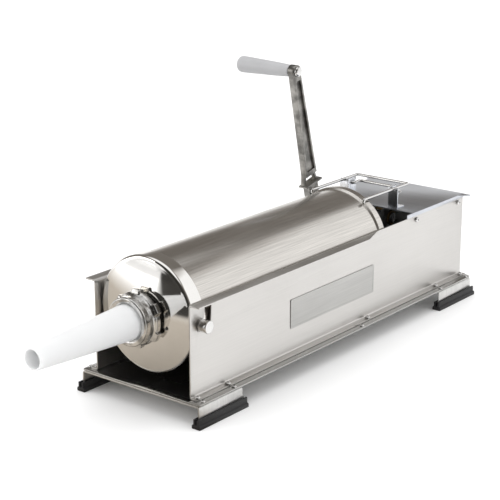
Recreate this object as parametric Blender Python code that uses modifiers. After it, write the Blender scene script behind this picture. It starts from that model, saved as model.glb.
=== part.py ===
"""Horizontal sausage stuffer: a tube and piston driven by a crank, a gear pair and a rack.

Metres, +Z up, +Y towards the rear, the nozzle at -Y and the crank on the -X side. The machine's own
coordinates have X 0 at the middle, Y 0 at the side panels' front edge and Z 0 at the floor; the empty
"machine" shifts them so that the world origin is the bottom centre of the bounding box.
"""

import math

import bmesh
import bpy
from mathutils import Matrix, Vector

MM = 0.001
GAP = 0.3 * MM  # between pieces that touch

# Base and feet
BASE_HALF_WIDTH = 92 * MM
BASE_FRONT = -6.5 * MM
BASE_REAR = 598 * MM
BASE_TOP = 28 * MM
BASE_THICKNESS = 2 * MM
LEG_LENGTH = 79 * MM
LEG_SHEET = 2 * MM
LEG_BOTTOM = 5.5 * MM
REAR_LEG_START = 511 * MM
REAR_LEG_LENGTH = 84 * MM
FOOT_OVERHANG = 5.3 * MM
FOOT_HALF_WIDTH = 6.3 * MM
FOOT_HEIGHT = 12 * MM

# Side panels
PANEL_OUTER = 74 * MM
SHEET = 1.5 * MM
PANEL_LENGTH = 596 * MM
PANEL_TOP = 142.5 * MM
TOP_FLANGE = 14 * MM
BOTTOM_FLANGE = 9.2 * MM
BEND = 3 * MM
TOP_FLANGE_END = 337 * MM
TOP_FLANGE_TAPER = 43 * MM

# Screws
FLANGE_SCREW_X = 79 * MM
FLANGE_SCREW_YS = tuple(y * MM for y in (6, 61, 352, 521, 587))
SCREW_HEAD_RADIUS = 3.6 * MM
SCREW_HEAD_HEIGHT = 2.6 * MM
SHANK_RADIUS = 1.9 * MM
SHANK_HOLE = 2.35 * MM
SHANK_LENGTH = 7.5 * MM
COVER_SCREWS = {
    "right": ((474 * MM, 136 * MM), (583 * MM, 137 * MM)),
    "left": ((515 * MM, 136 * MM), (583 * MM, 137 * MM)),
}

# Cover
COVER_FRONT = 462 * MM
COVER_REAR = 594 * MM
COVER_TOP = 148 * MM
COVER_HALF_WIDTH = 76.2 * MM
COVER_LIP_BOTTOM = 127 * MM
COVER_TAB = 15 * MM
EAR_REACH = 11.5 * MM
EAR_LENGTH = 20 * MM

# Tube and outlet
AXIS_Z = 113 * MM
TUBE_RADIUS = 69 * MM
TUBE_WALL = 1.1 * MM
TUBE_FRONT = 18 * MM
TUBE_REAR = 406 * MM
RIM_RADIUS = 71.6 * MM
RIM_LENGTH = 14 * MM
CAP_RADIUS = 71.4 * MM
CAP_SKIRT_END = 30 * MM
CAP_SHOULDER_Y = 14 * MM
CAP_SHOULDER = 9 * MM
CAP_FACE_Y = 3 * MM
SPIGOT_RADIUS = 24 * MM
SPIGOT_BORE = 19.5 * MM
SPIGOT_END = -15.8 * MM
NUT_FRONT = -25.3 * MM
NUT_REAR = -1.5 * MM
NUT_FACE_RADIUS = 29 * MM
NUT_LUG_RADIUS = 36 * MM
NUT_LUGS = 6
NOZZLE_TIP_Y = -173 * MM
NOZZLE_BASE_RADIUS = 21.5 * MM
NOZZLE_TIP_RADIUS = 13.3 * MM
NOZZLE_WALL = 2.2 * MM

# Trunnions and their slots
PIN_Y = 20 * MM
PIN_Z = 113.5 * MM
PIN_RADIUS = 5 * MM
KNOB_RADIUS = 7.7 * MM
KNOB_START = 75.2 * MM
KNOB_END = 86.5 * MM
SLOT_WIDTH = 12 * MM
SLOT_Y = 32.5 * MM
SLOT_TOP = 138.5 * MM

# Gear train
MODULE = 2 * MM
PRESSURE_ANGLE = math.radians(20)
BACKLASH = 0.25 * MM
INPUT_TEETH = 14
LARGE_TEETH = 42
RACK_PINION_TEETH = 16
INPUT_Y = 481 * MM
INPUT_Z = 129.3 * MM
RACK_BOTTOM = 103 * MM
RACK_TOP = 121.5 * MM
RACK_HALF_WIDTH = 11 * MM
RACK_PITCH_Z = RACK_BOTTOM + MODULE
LAYSHAFT_Z = RACK_PITCH_Z - MODULE * RACK_PINION_TEETH / 2
CENTRE_DISTANCE = MODULE * (INPUT_TEETH + LARGE_TEETH) / 2
LAYSHAFT_Y = INPUT_Y + math.sqrt(CENTRE_DISTANCE**2 - (INPUT_Z - LAYSHAFT_Z) ** 2)
RACK_FRONT = 44.3 * MM
RACK_REAR = 588 * MM
RACK_TEETH_FRONT = 78 * MM
RACK_TEETH_REAR = 562 * MM
INPUT_RADIUS = 7 * MM
LAYSHAFT_RADIUS = 9 * MM
SQUARE = 9.8 * MM
LEFT_PLATE = (-62 * MM, -58 * MM)
RIGHT_PLATE = (24 * MM, 28 * MM)
PLATE_FRONT = 463 * MM
PLATE_REAR = 566 * MM
PLATE_TOP = 144.5 * MM
GEAR_CENTRE_X = -48 * MM
GEAR_WIDTH = 12 * MM
BUSH_WALL = 3 * MM
BUSH_LENGTH = 8 * MM
RUNNING = 0.15 * MM

# Piston
PISTON_FRONT = 33 * MM
PISTON_REAR = 44 * MM
PISTON_RADIUS = 66.8 * MM
SEAL_RADIUS = 67.6 * MM
GROOVE_RADIUS = 62 * MM

# Crank
ARM_OUTER_X = -110 * MM
ARM_INNER_X = -100 * MM
HUB_INNER_X = -84 * MM
EYE_Y = 433 * MM
EYE_Z = 325 * MM
CRANK_LENGTH = math.hypot(INPUT_Y - EYE_Y, EYE_Z - INPUT_Z)
CRANK_LEAN = math.atan2(INPUT_Y - EYE_Y, EYE_Z - INPUT_Z)
EYE_RADIUS = 9 * MM
HUB_RADIUS = 15 * MM
NECK_HALF = 10.5 * MM
COLLAR_HEIGHT = 31 * MM  # above the hub's axis
COLLAR_THICKNESS = 2.6 * MM
COLLAR_REACH = 18.5 * MM
FOOT_FLARE = 16 * MM
GRIP_START = -111 * MM
GRIP_END = -200 * MM
GRIP_START_RADIUS = 8.3 * MM
GRIP_END_RADIUS = 11.6 * MM

# Bail
BAIL_Y = 474 * MM
BAIL_Z = 170.5 * MM
WIRE_RADIUS = 2 * MM
BAIL_LIFT = 5.4 * MM  # the outer wire's height over the axle
BAIL_HALF_WIDTH = 42 * MM
BAIL_HANDLE_Y = 500 * MM
BAIL_HOOK_Y = 392 * MM
BRACKET_INNER_X = 33 * MM
BRACKET_WIDTH = 15 * MM
BRACKET_DEPTH = 18 * MM
BRACKET_TOP = 177.2 * MM

ORIGIN_X = (GRIP_END + BASE_HALF_WIDTH - LEG_SHEET / 2 + FOOT_HALF_WIDTH) / 2
REAR_FOOT_END = REAR_LEG_START + REAR_LEG_LENGTH + FOOT_OVERHANG
ORIGIN_Y = (NOZZLE_TIP_Y + REAR_FOOT_END) / 2

SIDES = (("left", -1), ("right", 1))

MATERIALS = {
    "satin_steel": ((0.62, 0.61, 0.59), 0.32, 1.0),
    "polished_steel": ((0.75, 0.75, 0.74), 0.12, 1.0),
    "cover_steel": ((0.52, 0.53, 0.56), 0.38, 1.0),
    "cast_steel": ((0.48, 0.46, 0.43), 0.45, 1.0),
    "gear_steel": ((0.36, 0.36, 0.37), 0.4, 1.0),
    "bronze": ((0.62, 0.42, 0.2), 0.4, 1.0),
    "black_rubber": ((0.02, 0.02, 0.02), 0.75, 0.0),
    "grey_plastic": ((0.5, 0.5, 0.49), 0.5, 0.0),
    "milky_plastic": ((0.86, 0.87, 0.87), 0.4, 0.0),
    "white_plastic": ((0.85, 0.85, 0.83), 0.45, 0.0),
}


# ---------------------------------------------------------------- scene, collections and materials


def clear_scene():
    for obj in list(bpy.data.objects):
        bpy.data.objects.remove(obj, do_unlink=True)


def new_collection(name):
    collection = bpy.data.collections.new(name)
    bpy.context.scene.collection.children.link(collection)
    return collection


def material(name):
    found = bpy.data.materials.get(name)
    if found:
        return found
    colour, roughness, metallic = MATERIALS[name]
    made = bpy.data.materials.new(name)
    made.use_nodes = True
    shader = made.node_tree.nodes["Principled BSDF"]
    shader.inputs["Base Color"].default_value = (*colour, 1)
    shader.inputs["Roughness"].default_value = roughness
    shader.inputs["Metallic"].default_value = metallic
    return made


def place(obj, look, location=(0, 0, 0), parent=None):
    """Puts a sub-part in the object's collection, under the machine's empty or a joint's empty."""
    PARTS.objects.link(obj)
    obj.parent = parent or MACHINE
    obj.location = Vector(location) - (parent.location if parent else Vector())
    if look:
        obj.data.materials.append(material(look))
    return obj


def as_cutter(obj):
    """Turns a new object into a hidden helper for a Boolean."""
    CUTTERS.objects.link(obj)
    obj.parent = MACHINE
    obj.hide_render = True
    obj.display_type = "WIRE"
    return obj


def axis_empty(name, location):
    empty = bpy.data.objects.new(name, None)
    PARTS.objects.link(empty)
    empty.parent = MACHINE
    empty.location = location
    return empty


def boolean(obj, cutter, operation="DIFFERENCE"):
    modifier = obj.modifiers.new(operation.lower(), "BOOLEAN")
    modifier.operation = operation
    modifier.solver = "EXACT"
    modifier.object = cutter
    return obj


def smooth(mesh, angle=40):
    mesh.shade_smooth()
    mesh.set_sharp_from_angle(angle=math.radians(angle))


# ---------------------------------------------------------------- shapes


def mesh_from(bm, name):
    mesh = bpy.data.meshes.new(name)
    bm.to_mesh(mesh)
    bm.free()
    return bpy.data.objects.new(name, mesh)


def box(name, low, high):
    """A box between two corners, in the coordinates of its parent."""
    low, high = Vector(low), Vector(high)
    bm = bmesh.new()
    centre = Matrix.Translation((low + high) / 2)
    bmesh.ops.create_cube(bm, size=1, matrix=centre @ Matrix.Diagonal((*(high - low), 1)))
    return mesh_from(bm, name)


AXIS_TURN = {
    "X": Matrix.Rotation(math.radians(90), 4, "Y"),
    "Y": Matrix.Rotation(math.radians(-90), 4, "X"),
    "Z": Matrix.Identity(4),
}


def rods(name, radius, ends, axis, segments):
    """Cylinders along one axis, each from one end point to the other, in one mesh."""
    bm = bmesh.new()
    for start, end in ends:
        start, end = Vector(start), Vector(end)
        bmesh.ops.create_cone(
            bm,
            cap_ends=True,
            segments=segments,
            radius1=radius,
            radius2=radius,
            depth=(end - start).length,
            matrix=Matrix.Translation((start + end) / 2) @ AXIS_TURN[axis],
        )
    obj = mesh_from(bm, name)
    smooth(obj.data)
    return obj


def turned(name, profile, segments, closed=False, axis="Z"):
    """A solid of revolution. The profile's points are (radius, height) and run down the outer side."""
    mesh = bpy.data.meshes.new(name)
    edges = [(i, i + 1) for i in range(len(profile) - 1)]
    if closed:
        edges.append((len(profile) - 1, 0))
    mesh.from_pydata([(radius, 0, height) for radius, height in profile], edges, [])
    obj = bpy.data.objects.new(name, mesh)
    screw = obj.modifiers.new("screw", "SCREW")
    screw.steps = segments
    screw.render_steps = segments
    screw.use_merge_vertices = True
    screw.merge_threshold = 0.00001
    screw.use_smooth_shade = True
    if axis == "Y":
        obj.rotation_euler = (math.radians(-90), 0, 0)
    elif axis == "-Y":
        obj.rotation_euler = (math.radians(90), 0, 0)
    elif axis == "-X":
        obj.rotation_euler = (0, math.radians(-90), 0)
    elif axis == "X":
        obj.rotation_euler = (0, math.radians(90), 0)
    return obj


def outline(name, loops, thickness):
    """A flat plate in the local XY plane, centred on Z 0. The loops after the first are holes."""
    curve = bpy.data.curves.new(name, "CURVE")
    curve.dimensions = "2D"
    curve.fill_mode = "BOTH"
    curve.extrude = thickness / 2
    for loop in loops:
        spline = curve.splines.new("POLY")
        spline.points.add(len(loop) - 1)
        for point, (x, y) in zip(spline.points, loop):
            point.co = (x, y, 0, 1)
        spline.use_cyclic_u = True
    return bpy.data.objects.new(name, curve)


def meshed(curve_object):
    """The curve object as a welded mesh object, so that it can be cut or can cut."""
    bpy.context.scene.collection.objects.link(curve_object)
    graph = bpy.context.evaluated_depsgraph_get()
    mesh = bpy.data.meshes.new_from_object(curve_object.evaluated_get(graph))
    bm = bmesh.new()
    bm.from_mesh(mesh)
    bmesh.ops.remove_doubles(bm, verts=bm.verts, dist=0.000005)
    bmesh.ops.recalc_face_normals(bm, faces=bm.faces)
    bm.to_mesh(mesh)
    bm.free()
    name = curve_object.name
    rotation = curve_object.rotation_euler.copy()
    bpy.data.objects.remove(curve_object, do_unlink=True)
    obj = bpy.data.objects.new(name, mesh)
    obj.name = name
    obj.rotation_euler = rotation
    return obj


def circle(radius, count, centre=(0, 0), phase=0.0):
    step = 2 * math.pi / count
    return [
        (centre[0] + radius * math.cos(phase + i * step), centre[1] + radius * math.sin(phase + i * step))
        for i in range(count)
    ]


def rounded_rectangle(x0, y0, x1, y1, radii, steps=4):
    """Corner points of a rectangle, counter-clockwise from the low corner, with a radius for each."""
    corners = ((x0, y0, 1, 1, 180), (x1, y0, -1, 1, 270), (x1, y1, -1, -1, 0), (x0, y1, 1, -1, 90))
    points = []
    for (x, y, sx, sy, start), radius in zip(corners, radii):
        centre = (x + sx * radius, y + sy * radius)
        for i in range(steps + 1):
            angle = math.radians(start + 90 * i / steps)
            points.append((centre[0] + radius * math.cos(angle), centre[1] + radius * math.sin(angle)))
    return points


def bent_sheet(name, section, bends, y0, y1, thickness):
    """A sheet bent along Y. The (x, z) points are its middle line, and each inner one is rounded."""
    points = [section[0]]
    for i in range(1, len(section) - 1):
        corner = Vector(section[i])
        before = (Vector(section[i - 1]) - corner).normalized()
        after = (Vector(section[i + 1]) - corner).normalized()
        centre = corner + (before + after) * bends
        for step in range(4):
            blend = math.radians(90 * step / 3)
            across = after * bends * math.cos(blend) + before * bends * math.sin(blend)
            points.append(tuple(centre - across))
    points.append(section[-1])
    bm = bmesh.new()
    rows = [[bm.verts.new((x, y, z)) for x, z in points] for y in (y0, y1)]
    for i in range(len(points) - 1):
        bm.faces.new((rows[0][i], rows[0][i + 1], rows[1][i + 1], rows[1][i]))
    obj = mesh_from(bm, name)
    smooth(obj.data)
    solid = obj.modifiers.new("sheet", "SOLIDIFY")
    solid.thickness = thickness
    solid.offset = 0
    solid.use_even_offset = True
    return obj


def wire(name, route, radius, sides=2):
    """A round wire along a route of points."""
    curve = bpy.data.curves.new(name, "CURVE")
    curve.dimensions = "3D"
    curve.bevel_depth = radius
    curve.bevel_resolution = sides
    curve.use_fill_caps = True
    spline = curve.splines.new("POLY")
    spline.points.add(len(route) - 1)
    for point, place_at in zip(spline.points, route):
        point.co = (*place_at, 1)
    return bpy.data.objects.new(name, curve)


def rounded_route(points, radius, steps=4):
    """The points with each inner corner rounded."""
    route = [Vector(points[0])]
    for before, corner, after in zip(points, points[1:], points[2:]):
        before, corner, after = Vector(before), Vector(corner), Vector(after)
        into = (before - corner).normalized()
        out = (after - corner).normalized()
        for i in range(steps + 1):
            t = i / steps
            start = corner + into * radius
            end = corner + out * radius
            route.append(start * (1 - t) ** 2 + corner * 2 * t * (1 - t) + end * t**2)
    route.append(Vector(points[-1]))
    return route


# ---------------------------------------------------------------- gear geometry


def involute_angle(angle):
    return math.tan(angle) - angle


def gear_outline(teeth, phase):
    """A stub-tooth involute gear's outline, with one tooth centred at the phase angle."""
    pitch = MODULE * teeth / 2
    base = pitch * math.cos(PRESSURE_ANGLE)
    tip = pitch + 0.85 * MODULE
    root = pitch - 1.1 * MODULE
    half_at_pitch = math.pi / (2 * teeth) - BACKLASH / (2 * pitch)
    flank = []
    for radius in (max(base, root + 0.1 * MM), pitch + 0.2 * MODULE, tip):
        swing = involute_angle(math.acos(min(1, base / radius)))
        flank.append((radius, half_at_pitch + involute_angle(PRESSURE_ANGLE) - swing))
    tooth = [(root, -flank[0][1])]
    tooth += [(radius, -half) for radius, half in flank]
    tooth += [(radius, half) for radius, half in reversed(flank)]
    tooth += [(root, flank[0][1])]
    points = []
    for i in range(teeth):
        centre = phase + 2 * math.pi * i / teeth
        points += [(r * math.cos(centre + a), r * math.sin(centre + a)) for r, a in tooth]
    return points


def gear(name, teeth, phase, width, bore):
    """A gear about the local Z axis, which is the world's X axis once it is placed."""
    obj = outline(name, [gear_outline(teeth, phase), circle(bore, 24)], width)
    obj.rotation_euler = (math.radians(90), 0, math.radians(90))
    return obj


def rack_outline():
    """The rack's side view, (y, z), with straight-flanked teeth along its underside."""
    pitch = math.pi * MODULE
    half = pitch / 4 - BACKLASH / 2
    slope = math.tan(PRESSURE_ANGLE)
    tip_half = half - MODULE * 0.85 * slope
    root_half = half + MODULE * 1.1 * slope
    root_z = RACK_PITCH_Z + 1.1 * MODULE
    tip_z = RACK_PITCH_Z - 0.85 * MODULE
    points = [(RACK_FRONT, RACK_TOP), (RACK_FRONT, RACK_BOTTOM), (RACK_TEETH_FRONT, RACK_BOTTOM)]
    points.append((RACK_TEETH_FRONT, root_z))
    first = math.ceil((RACK_TEETH_FRONT + 2 * MODULE - LAYSHAFT_Y) / pitch)
    last = math.floor((RACK_TEETH_REAR - 2 * MODULE - LAYSHAFT_Y) / pitch)
    for i in range(first, last + 1):
        centre = LAYSHAFT_Y + i * pitch
        points += [
            (centre - root_half, root_z),
            (centre - tip_half, tip_z),
            (centre + tip_half, tip_z),
            (centre + root_half, root_z),
        ]
    points += [(RACK_TEETH_REAR, root_z), (RACK_TEETH_REAR, RACK_BOTTOM)]
    points += [(RACK_REAR, RACK_BOTTOM), (RACK_REAR, RACK_TOP)]
    return points


# ---------------------------------------------------------------- base, feet and panels


def screw_hole_cutter():
    ends = [
        ((side * FLANGE_SCREW_X, y, 15 * MM), (side * FLANGE_SCREW_X, y, 35 * MM))
        for _, side in SIDES
        for y in FLANGE_SCREW_YS
    ]
    return as_cutter(rods("flange_screw_holes", SHANK_HOLE, ends, "Z", 8))


def cover_screw_cutter(label, side):
    ends = [
        ((side * 66 * MM, y, z), (side * 82 * MM, y, z)) for y, z in COVER_SCREWS[label]
    ]
    return as_cutter(rods(f"cover_screw_holes_{label}", SHANK_HOLE, ends, "X", 8))


def build_base(holes):
    radii = (3 * MM, 3 * MM, 8 * MM, 8 * MM)
    loop = rounded_rectangle(-BASE_HALF_WIDTH, BASE_FRONT, BASE_HALF_WIDTH, BASE_REAR, radii)
    plate = meshed(outline("base_plate", [loop], BASE_THICKNESS))
    place(plate, "satin_steel", (0, 0, BASE_TOP - BASE_THICKNESS / 2))
    boolean(plate, holes)


def build_leg(name, start, length, holes):
    """An inverted U of sheet under the base, its sides at the base's edges."""
    middle = BASE_HALF_WIDTH - LEG_SHEET / 2
    top = BASE_TOP - BASE_THICKNESS - GAP - LEG_SHEET / 2
    section = [(-middle, LEG_BOTTOM), (-middle, top), (middle, top), (middle, LEG_BOTTOM)]
    leg = bent_sheet(name, section, 2.5 * MM, start, start + length, LEG_SHEET)
    place(leg, "satin_steel")
    boolean(leg, holes)


def build_foot(name, side, start, length):
    """A stepped rubber strip with a groove that holds the leg's lower edge."""
    upper = 4 * MM
    step = 5 * MM
    groove = LEG_SHEET / 2 + GAP
    floor = LEG_BOTTOM - GAP
    loop = [
        (-FOOT_HALF_WIDTH, 0),
        (FOOT_HALF_WIDTH, 0),
        (FOOT_HALF_WIDTH, step - 1 * MM),
        (FOOT_HALF_WIDTH - 1 * MM, step),
        (upper, step + 0.5 * MM),
        (upper, FOOT_HEIGHT),
        (groove, FOOT_HEIGHT),
        (groove, floor),
        (-groove, floor),
        (-groove, FOOT_HEIGHT),
        (-upper, FOOT_HEIGHT),
        (-upper, step + 0.5 * MM),
        (-FOOT_HALF_WIDTH + 1 * MM, step),
        (-FOOT_HALF_WIDTH, step - 1 * MM),
    ]
    foot = outline(name, [loop], length + 2 * FOOT_OVERHANG)
    foot.rotation_euler = (math.radians(90), 0, 0)
    x = side * (BASE_HALF_WIDTH - LEG_SHEET / 2)
    place(foot, "black_rubber", (x, start + length / 2, 0))


def slot_cutter(label, side):
    """A slot that drops from under the flange and turns forward to the trunnion's seat."""
    half = SLOT_WIDTH / 2
    seat = [
        (PIN_Y + half * math.cos(a), PIN_Z + half * math.sin(a))
        for a in (math.radians(90 + 180 * i / 8) for i in range(9))
    ]
    loop = [
        (SLOT_Y - half, SLOT_TOP),
        (SLOT_Y - half - 1.5 * MM, PIN_Z + half),
        *seat,
        (SLOT_Y + half - 1.5 * MM, PIN_Z - half),
        (SLOT_Y + half, SLOT_TOP),
    ]
    cutter = outline(f"slot_{label}", [loop], 8 * MM)
    cutter.rotation_euler = (math.radians(90), 0, math.radians(90))
    cutter = as_cutter(meshed(cutter))
    cutter.location = (side * (PANEL_OUTER - SHEET / 2), 0, 0)
    return cutter


def flange_end_cutter(label, side):
    """Takes the top flange off behind its tapered end."""
    inner = PANEL_OUTER + 0.05 * MM
    outer = PANEL_OUTER + TOP_FLANGE + 1 * MM
    taper_end = TOP_FLANGE_END + TOP_FLANGE_TAPER
    loop = [
        (side * outer, TOP_FLANGE_END),
        (side * outer, PANEL_LENGTH + 5 * MM),
        (side * inner, PANEL_LENGTH + 5 * MM),
        (side * inner, taper_end),
    ]
    cutter = as_cutter(meshed(outline(f"flange_end_{label}", [loop], 12 * MM)))
    cutter.location = (0, 0, PANEL_TOP)
    return cutter


def shaft_hole_cutter():
    ends = [((-80 * MM, INPUT_Y, INPUT_Z), (-68 * MM, INPUT_Y, INPUT_Z))]
    ends.append(((-80 * MM, LAYSHAFT_Y, LAYSHAFT_Z), (-68 * MM, LAYSHAFT_Y, LAYSHAFT_Z)))
    return as_cutter(rods("shaft_holes", 13 * MM, ends, "X", 16))


def build_panel(label, side, holes, cover_holes, shaft_holes):
    middle = side * (PANEL_OUTER - SHEET / 2)
    bottom = BASE_TOP + GAP + SHEET / 2
    top = PANEL_TOP - SHEET / 2
    section = [
        (middle + side * (BOTTOM_FLANGE + SHEET / 2), bottom),
        (middle, bottom),
        (middle, top),
        (middle + side * (TOP_FLANGE + SHEET / 2), top),
    ]
    panel = bent_sheet(f"{label}_side_panel", section, BEND, 0, PANEL_LENGTH, SHEET)
    place(panel, "satin_steel")
    boolean(panel, flange_end_cutter(label, side))
    boolean(panel, slot_cutter(label, side))
    boolean(panel, holes)
    boolean(panel, cover_holes)
    if shaft_holes:
        boolean(panel, shaft_holes)


def build_rear_plate():
    """Closes the gearbox at the rear, with the opening that the rack comes out of."""
    half = PANEL_OUTER - 2 * SHEET - 2 * GAP
    loop = rounded_rectangle(-half, BASE_TOP + GAP, half, PANEL_TOP, (1 * MM,) * 4, 1)
    hole = rounded_rectangle(-15 * MM, 98 * MM, 15 * MM, 127 * MM, (2 * MM,) * 4, 2)
    plate = outline("rear_plate", [loop, hole], SHEET)
    plate.rotation_euler = (math.radians(90), 0, 0)
    place(plate, "satin_steel", (0, 591.5 * MM, 0))


def build_cover(shaft_holes, cover_holes):
    """A sheet lid with a hem outside the panels and a lip inside them, and an ear at each rear corner."""
    half = COVER_HALF_WIDTH
    under = COVER_TOP - SHEET
    hem = PANEL_TOP + GAP
    lip_outer = PANEL_OUTER - SHEET - GAP
    lip_inner = lip_outer - SHEET
    right = [
        (lip_inner, under),
        (lip_inner, COVER_LIP_BOTTOM),
        (lip_outer, COVER_LIP_BOTTOM),
        (lip_outer, under),
        (half - SHEET, under),
        (half - SHEET, hem),
        (half, hem),
        (half, COVER_TOP),
    ]
    loop = right + [(-x, z) for x, z in reversed(right)]
    cover = outline("top_cover", [loop], COVER_REAR - COVER_FRONT)
    cover.rotation_euler = (math.radians(90), 0, 0)
    cover = meshed(cover)
    place(cover, "cover_steel", (0, (COVER_FRONT + COVER_REAR) / 2, 0))
    for label, side in SIDES:
        ear_loop = [
            (side * (half - 3 * MM), COVER_REAR - EAR_LENGTH),
            (side * (half + EAR_REACH), COVER_REAR - 3 * MM),
            (side * (half + EAR_REACH), COVER_REAR - 0.2 * MM),
            (side * (half - 3 * MM), COVER_REAR - 0.2 * MM),
        ]
        ear = as_cutter(meshed(outline(f"cover_ear_{label}", [ear_loop], SHEET - 0.2 * MM)))
        ear.location = (0, 0, COVER_TOP - SHEET / 2)
        boolean(cover, ear, "UNION")
        ends = sorted((side * (half - 0.05 * MM), side * (half - SHEET + 0.05 * MM)))
        low = (ends[0], COVER_FRONT - COVER_TAB, hem + 0.1 * MM)
        high = (ends[1], COVER_FRONT + 2 * MM, COVER_TOP - 0.1 * MM)
        boolean(cover, as_cutter(box(f"cover_tab_{label}", low, high)), "UNION")
        boolean(cover, cover_holes[label])
    boolean(cover, shaft_holes)


def build_nameplate():
    loop = rounded_rectangle(189 * MM, 60 * MM, 371 * MM, 98 * MM, (1.5 * MM,) * 4, 3)
    plate = outline("nameplate", [loop], 0.6 * MM)
    plate.rotation_euler = (math.radians(90), 0, math.radians(90))
    place(plate, "polished_steel", (PANEL_OUTER + GAP + 0.3 * MM, 0, 0))


# ---------------------------------------------------------------- screws


def screw_profile():
    head, height = SCREW_HEAD_RADIUS, SCREW_HEAD_HEIGHT
    return [
        (0, height),
        (head * 0.55, height * 0.86),
        (head * 0.9, height * 0.45),
        (head, 0),
        (SHANK_RADIUS, 0),
        (SHANK_RADIUS, -SHANK_LENGTH),
        (0, -SHANK_LENGTH),
    ]


def build_screws():
    head_z = BASE_TOP + GAP + SHEET + GAP
    for label, side in SIDES:
        for number, y in enumerate(FLANGE_SCREW_YS, 1):
            screw = turned(f"flange_screw_{label}_{number}", screw_profile(), 8)
            place(screw, "polished_steel", (side * FLANGE_SCREW_X, y, head_z))
        for number, (y, z) in enumerate(COVER_SCREWS[label], 1):
            axis = "X" if side > 0 else "-X"
            screw = turned(f"cover_screw_{label}_{number}", screw_profile(), 8, axis=axis)
            place(screw, "polished_steel", (side * (PANEL_OUTER + GAP), y, z))


# ---------------------------------------------------------------- tube, cap and outlet


def build_tube():
    """Heights along the profile are Y, from the rear rim at the top of the list to the front."""
    inner = TUBE_RADIUS - TUBE_WALL
    rim_front = TUBE_REAR - RIM_LENGTH
    profile = [
        (inner, TUBE_REAR),
        (RIM_RADIUS - 1.2 * MM, TUBE_REAR),
        (RIM_RADIUS, TUBE_REAR - 1.5 * MM),
        (RIM_RADIUS, rim_front + 2 * MM),
        (TUBE_RADIUS, rim_front),
        (TUBE_RADIUS, TUBE_FRONT),
        (inner, TUBE_FRONT),
    ]
    place(turned("tube", profile, 40, closed=True, axis="Y"), "satin_steel", (0, 0, AXIS_Z))


def build_cap():
    """A drawn cup over the tube's front end, with the hole that the spigot is welded in."""
    inner = TUBE_RADIUS + GAP
    shoulder = [
        (
            CAP_RADIUS - CAP_SHOULDER + CAP_SHOULDER * math.cos(a),
            CAP_SHOULDER_Y - CAP_SHOULDER * 0.75 * math.sin(a),
        )
        for a in (math.radians(90 * i / 3) for i in range(4))
    ]
    hole = SPIGOT_RADIUS + GAP
    profile = [
        (inner, CAP_SKIRT_END),
        (CAP_RADIUS, CAP_SKIRT_END),
        *shoulder,
        ((CAP_RADIUS + hole) / 2 - 6 * MM, CAP_FACE_Y + 1.2 * MM),
        (hole, CAP_FACE_Y),
        (hole, CAP_FACE_Y + 1.6 * MM),
        ((CAP_RADIUS + hole) / 2 - 6 * MM, CAP_FACE_Y + 2.8 * MM),
        (inner - CAP_SHOULDER + 0.5 * MM, CAP_SHOULDER_Y - CAP_SHOULDER * 0.75 + 2 * MM),
        (inner, CAP_SHOULDER_Y + 1.5 * MM),
    ]
    place(turned("front_cap", profile, 40, closed=True, axis="Y"), "polished_steel", (0, 0, AXIS_Z))


def build_spigot():
    rear = CAP_FACE_Y + 6 * MM
    profile = [
        (SPIGOT_BORE, rear),
        (SPIGOT_RADIUS, rear),
        (SPIGOT_RADIUS, SPIGOT_END),
        (SPIGOT_BORE, SPIGOT_END),
    ]
    place(turned("outlet_spigot", profile, 28, closed=True, axis="Y"), "cast_steel", (0, 0, AXIS_Z))


def build_ring_nut():
    """A round nut whose lugs stand out round its rear edge."""
    bore = SPIGOT_RADIUS + GAP
    lip_bore = NOZZLE_BASE_RADIUS + 0.5 * MM
    lip_rear = NUT_FRONT + 4.5 * MM
    profile = [
        (bore, NUT_REAR),
        (32 * MM, NUT_REAR),
        (32 * MM, NUT_REAR - 7 * MM),
        (NUT_FACE_RADIUS + 1 * MM, NUT_REAR - 9 * MM),
        (NUT_FACE_RADIUS, NUT_FRONT + 1.2 * MM),
        (NUT_FACE_RADIUS - 1.2 * MM, NUT_FRONT),
        (lip_bore, NUT_FRONT),
        (lip_bore, lip_rear),
        (bore, lip_rear),
    ]
    nut = turned("ring_nut", profile, 28, closed=True, axis="Y")
    place(nut, "polished_steel", (0, 0, AXIS_Z))
    lug_low = 30 * MM
    for i in range(NUT_LUGS):
        lug = box(f"nut_lug_{i}", (lug_low, -7 * MM, -5.5 * MM), (NUT_LUG_RADIUS, 0, 5.5 * MM))
        lug = as_cutter(lug)
        lug.location = (0, NUT_REAR - 0.1 * MM, AXIS_Z)
        lug.rotation_euler = (0, 2 * math.pi * (i + 0.5) / NUT_LUGS, 0)
        boolean(nut, lug, "UNION")


def build_nozzle():
    flange_front = NUT_FRONT + 4.5 * MM + GAP
    flange_rear = SPIGOT_END - GAP
    tip_inner = NOZZLE_TIP_RADIUS - NOZZLE_WALL
    base_inner = NOZZLE_BASE_RADIUS - NOZZLE_WALL - 0.3 * MM
    profile = [
        (base_inner, flange_rear),
        (SPIGOT_RADIUS - 0.3 * MM, flange_rear),
        (SPIGOT_RADIUS - 0.3 * MM, flange_front),
        (NOZZLE_BASE_RADIUS, flange_front),
        (NOZZLE_BASE_RADIUS, NUT_FRONT - 2 * MM),
        (NOZZLE_TIP_RADIUS, NOZZLE_TIP_Y + 0.6 * MM),
        (NOZZLE_TIP_RADIUS - 0.6 * MM, NOZZLE_TIP_Y),
        (tip_inner, NOZZLE_TIP_Y),
        (base_inner, NUT_FRONT - 2 * MM),
    ]
    place(turned("filling_nozzle", profile, 28, closed=True, axis="Y"), "milky_plastic", (0, 0, AXIS_Z))


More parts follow.
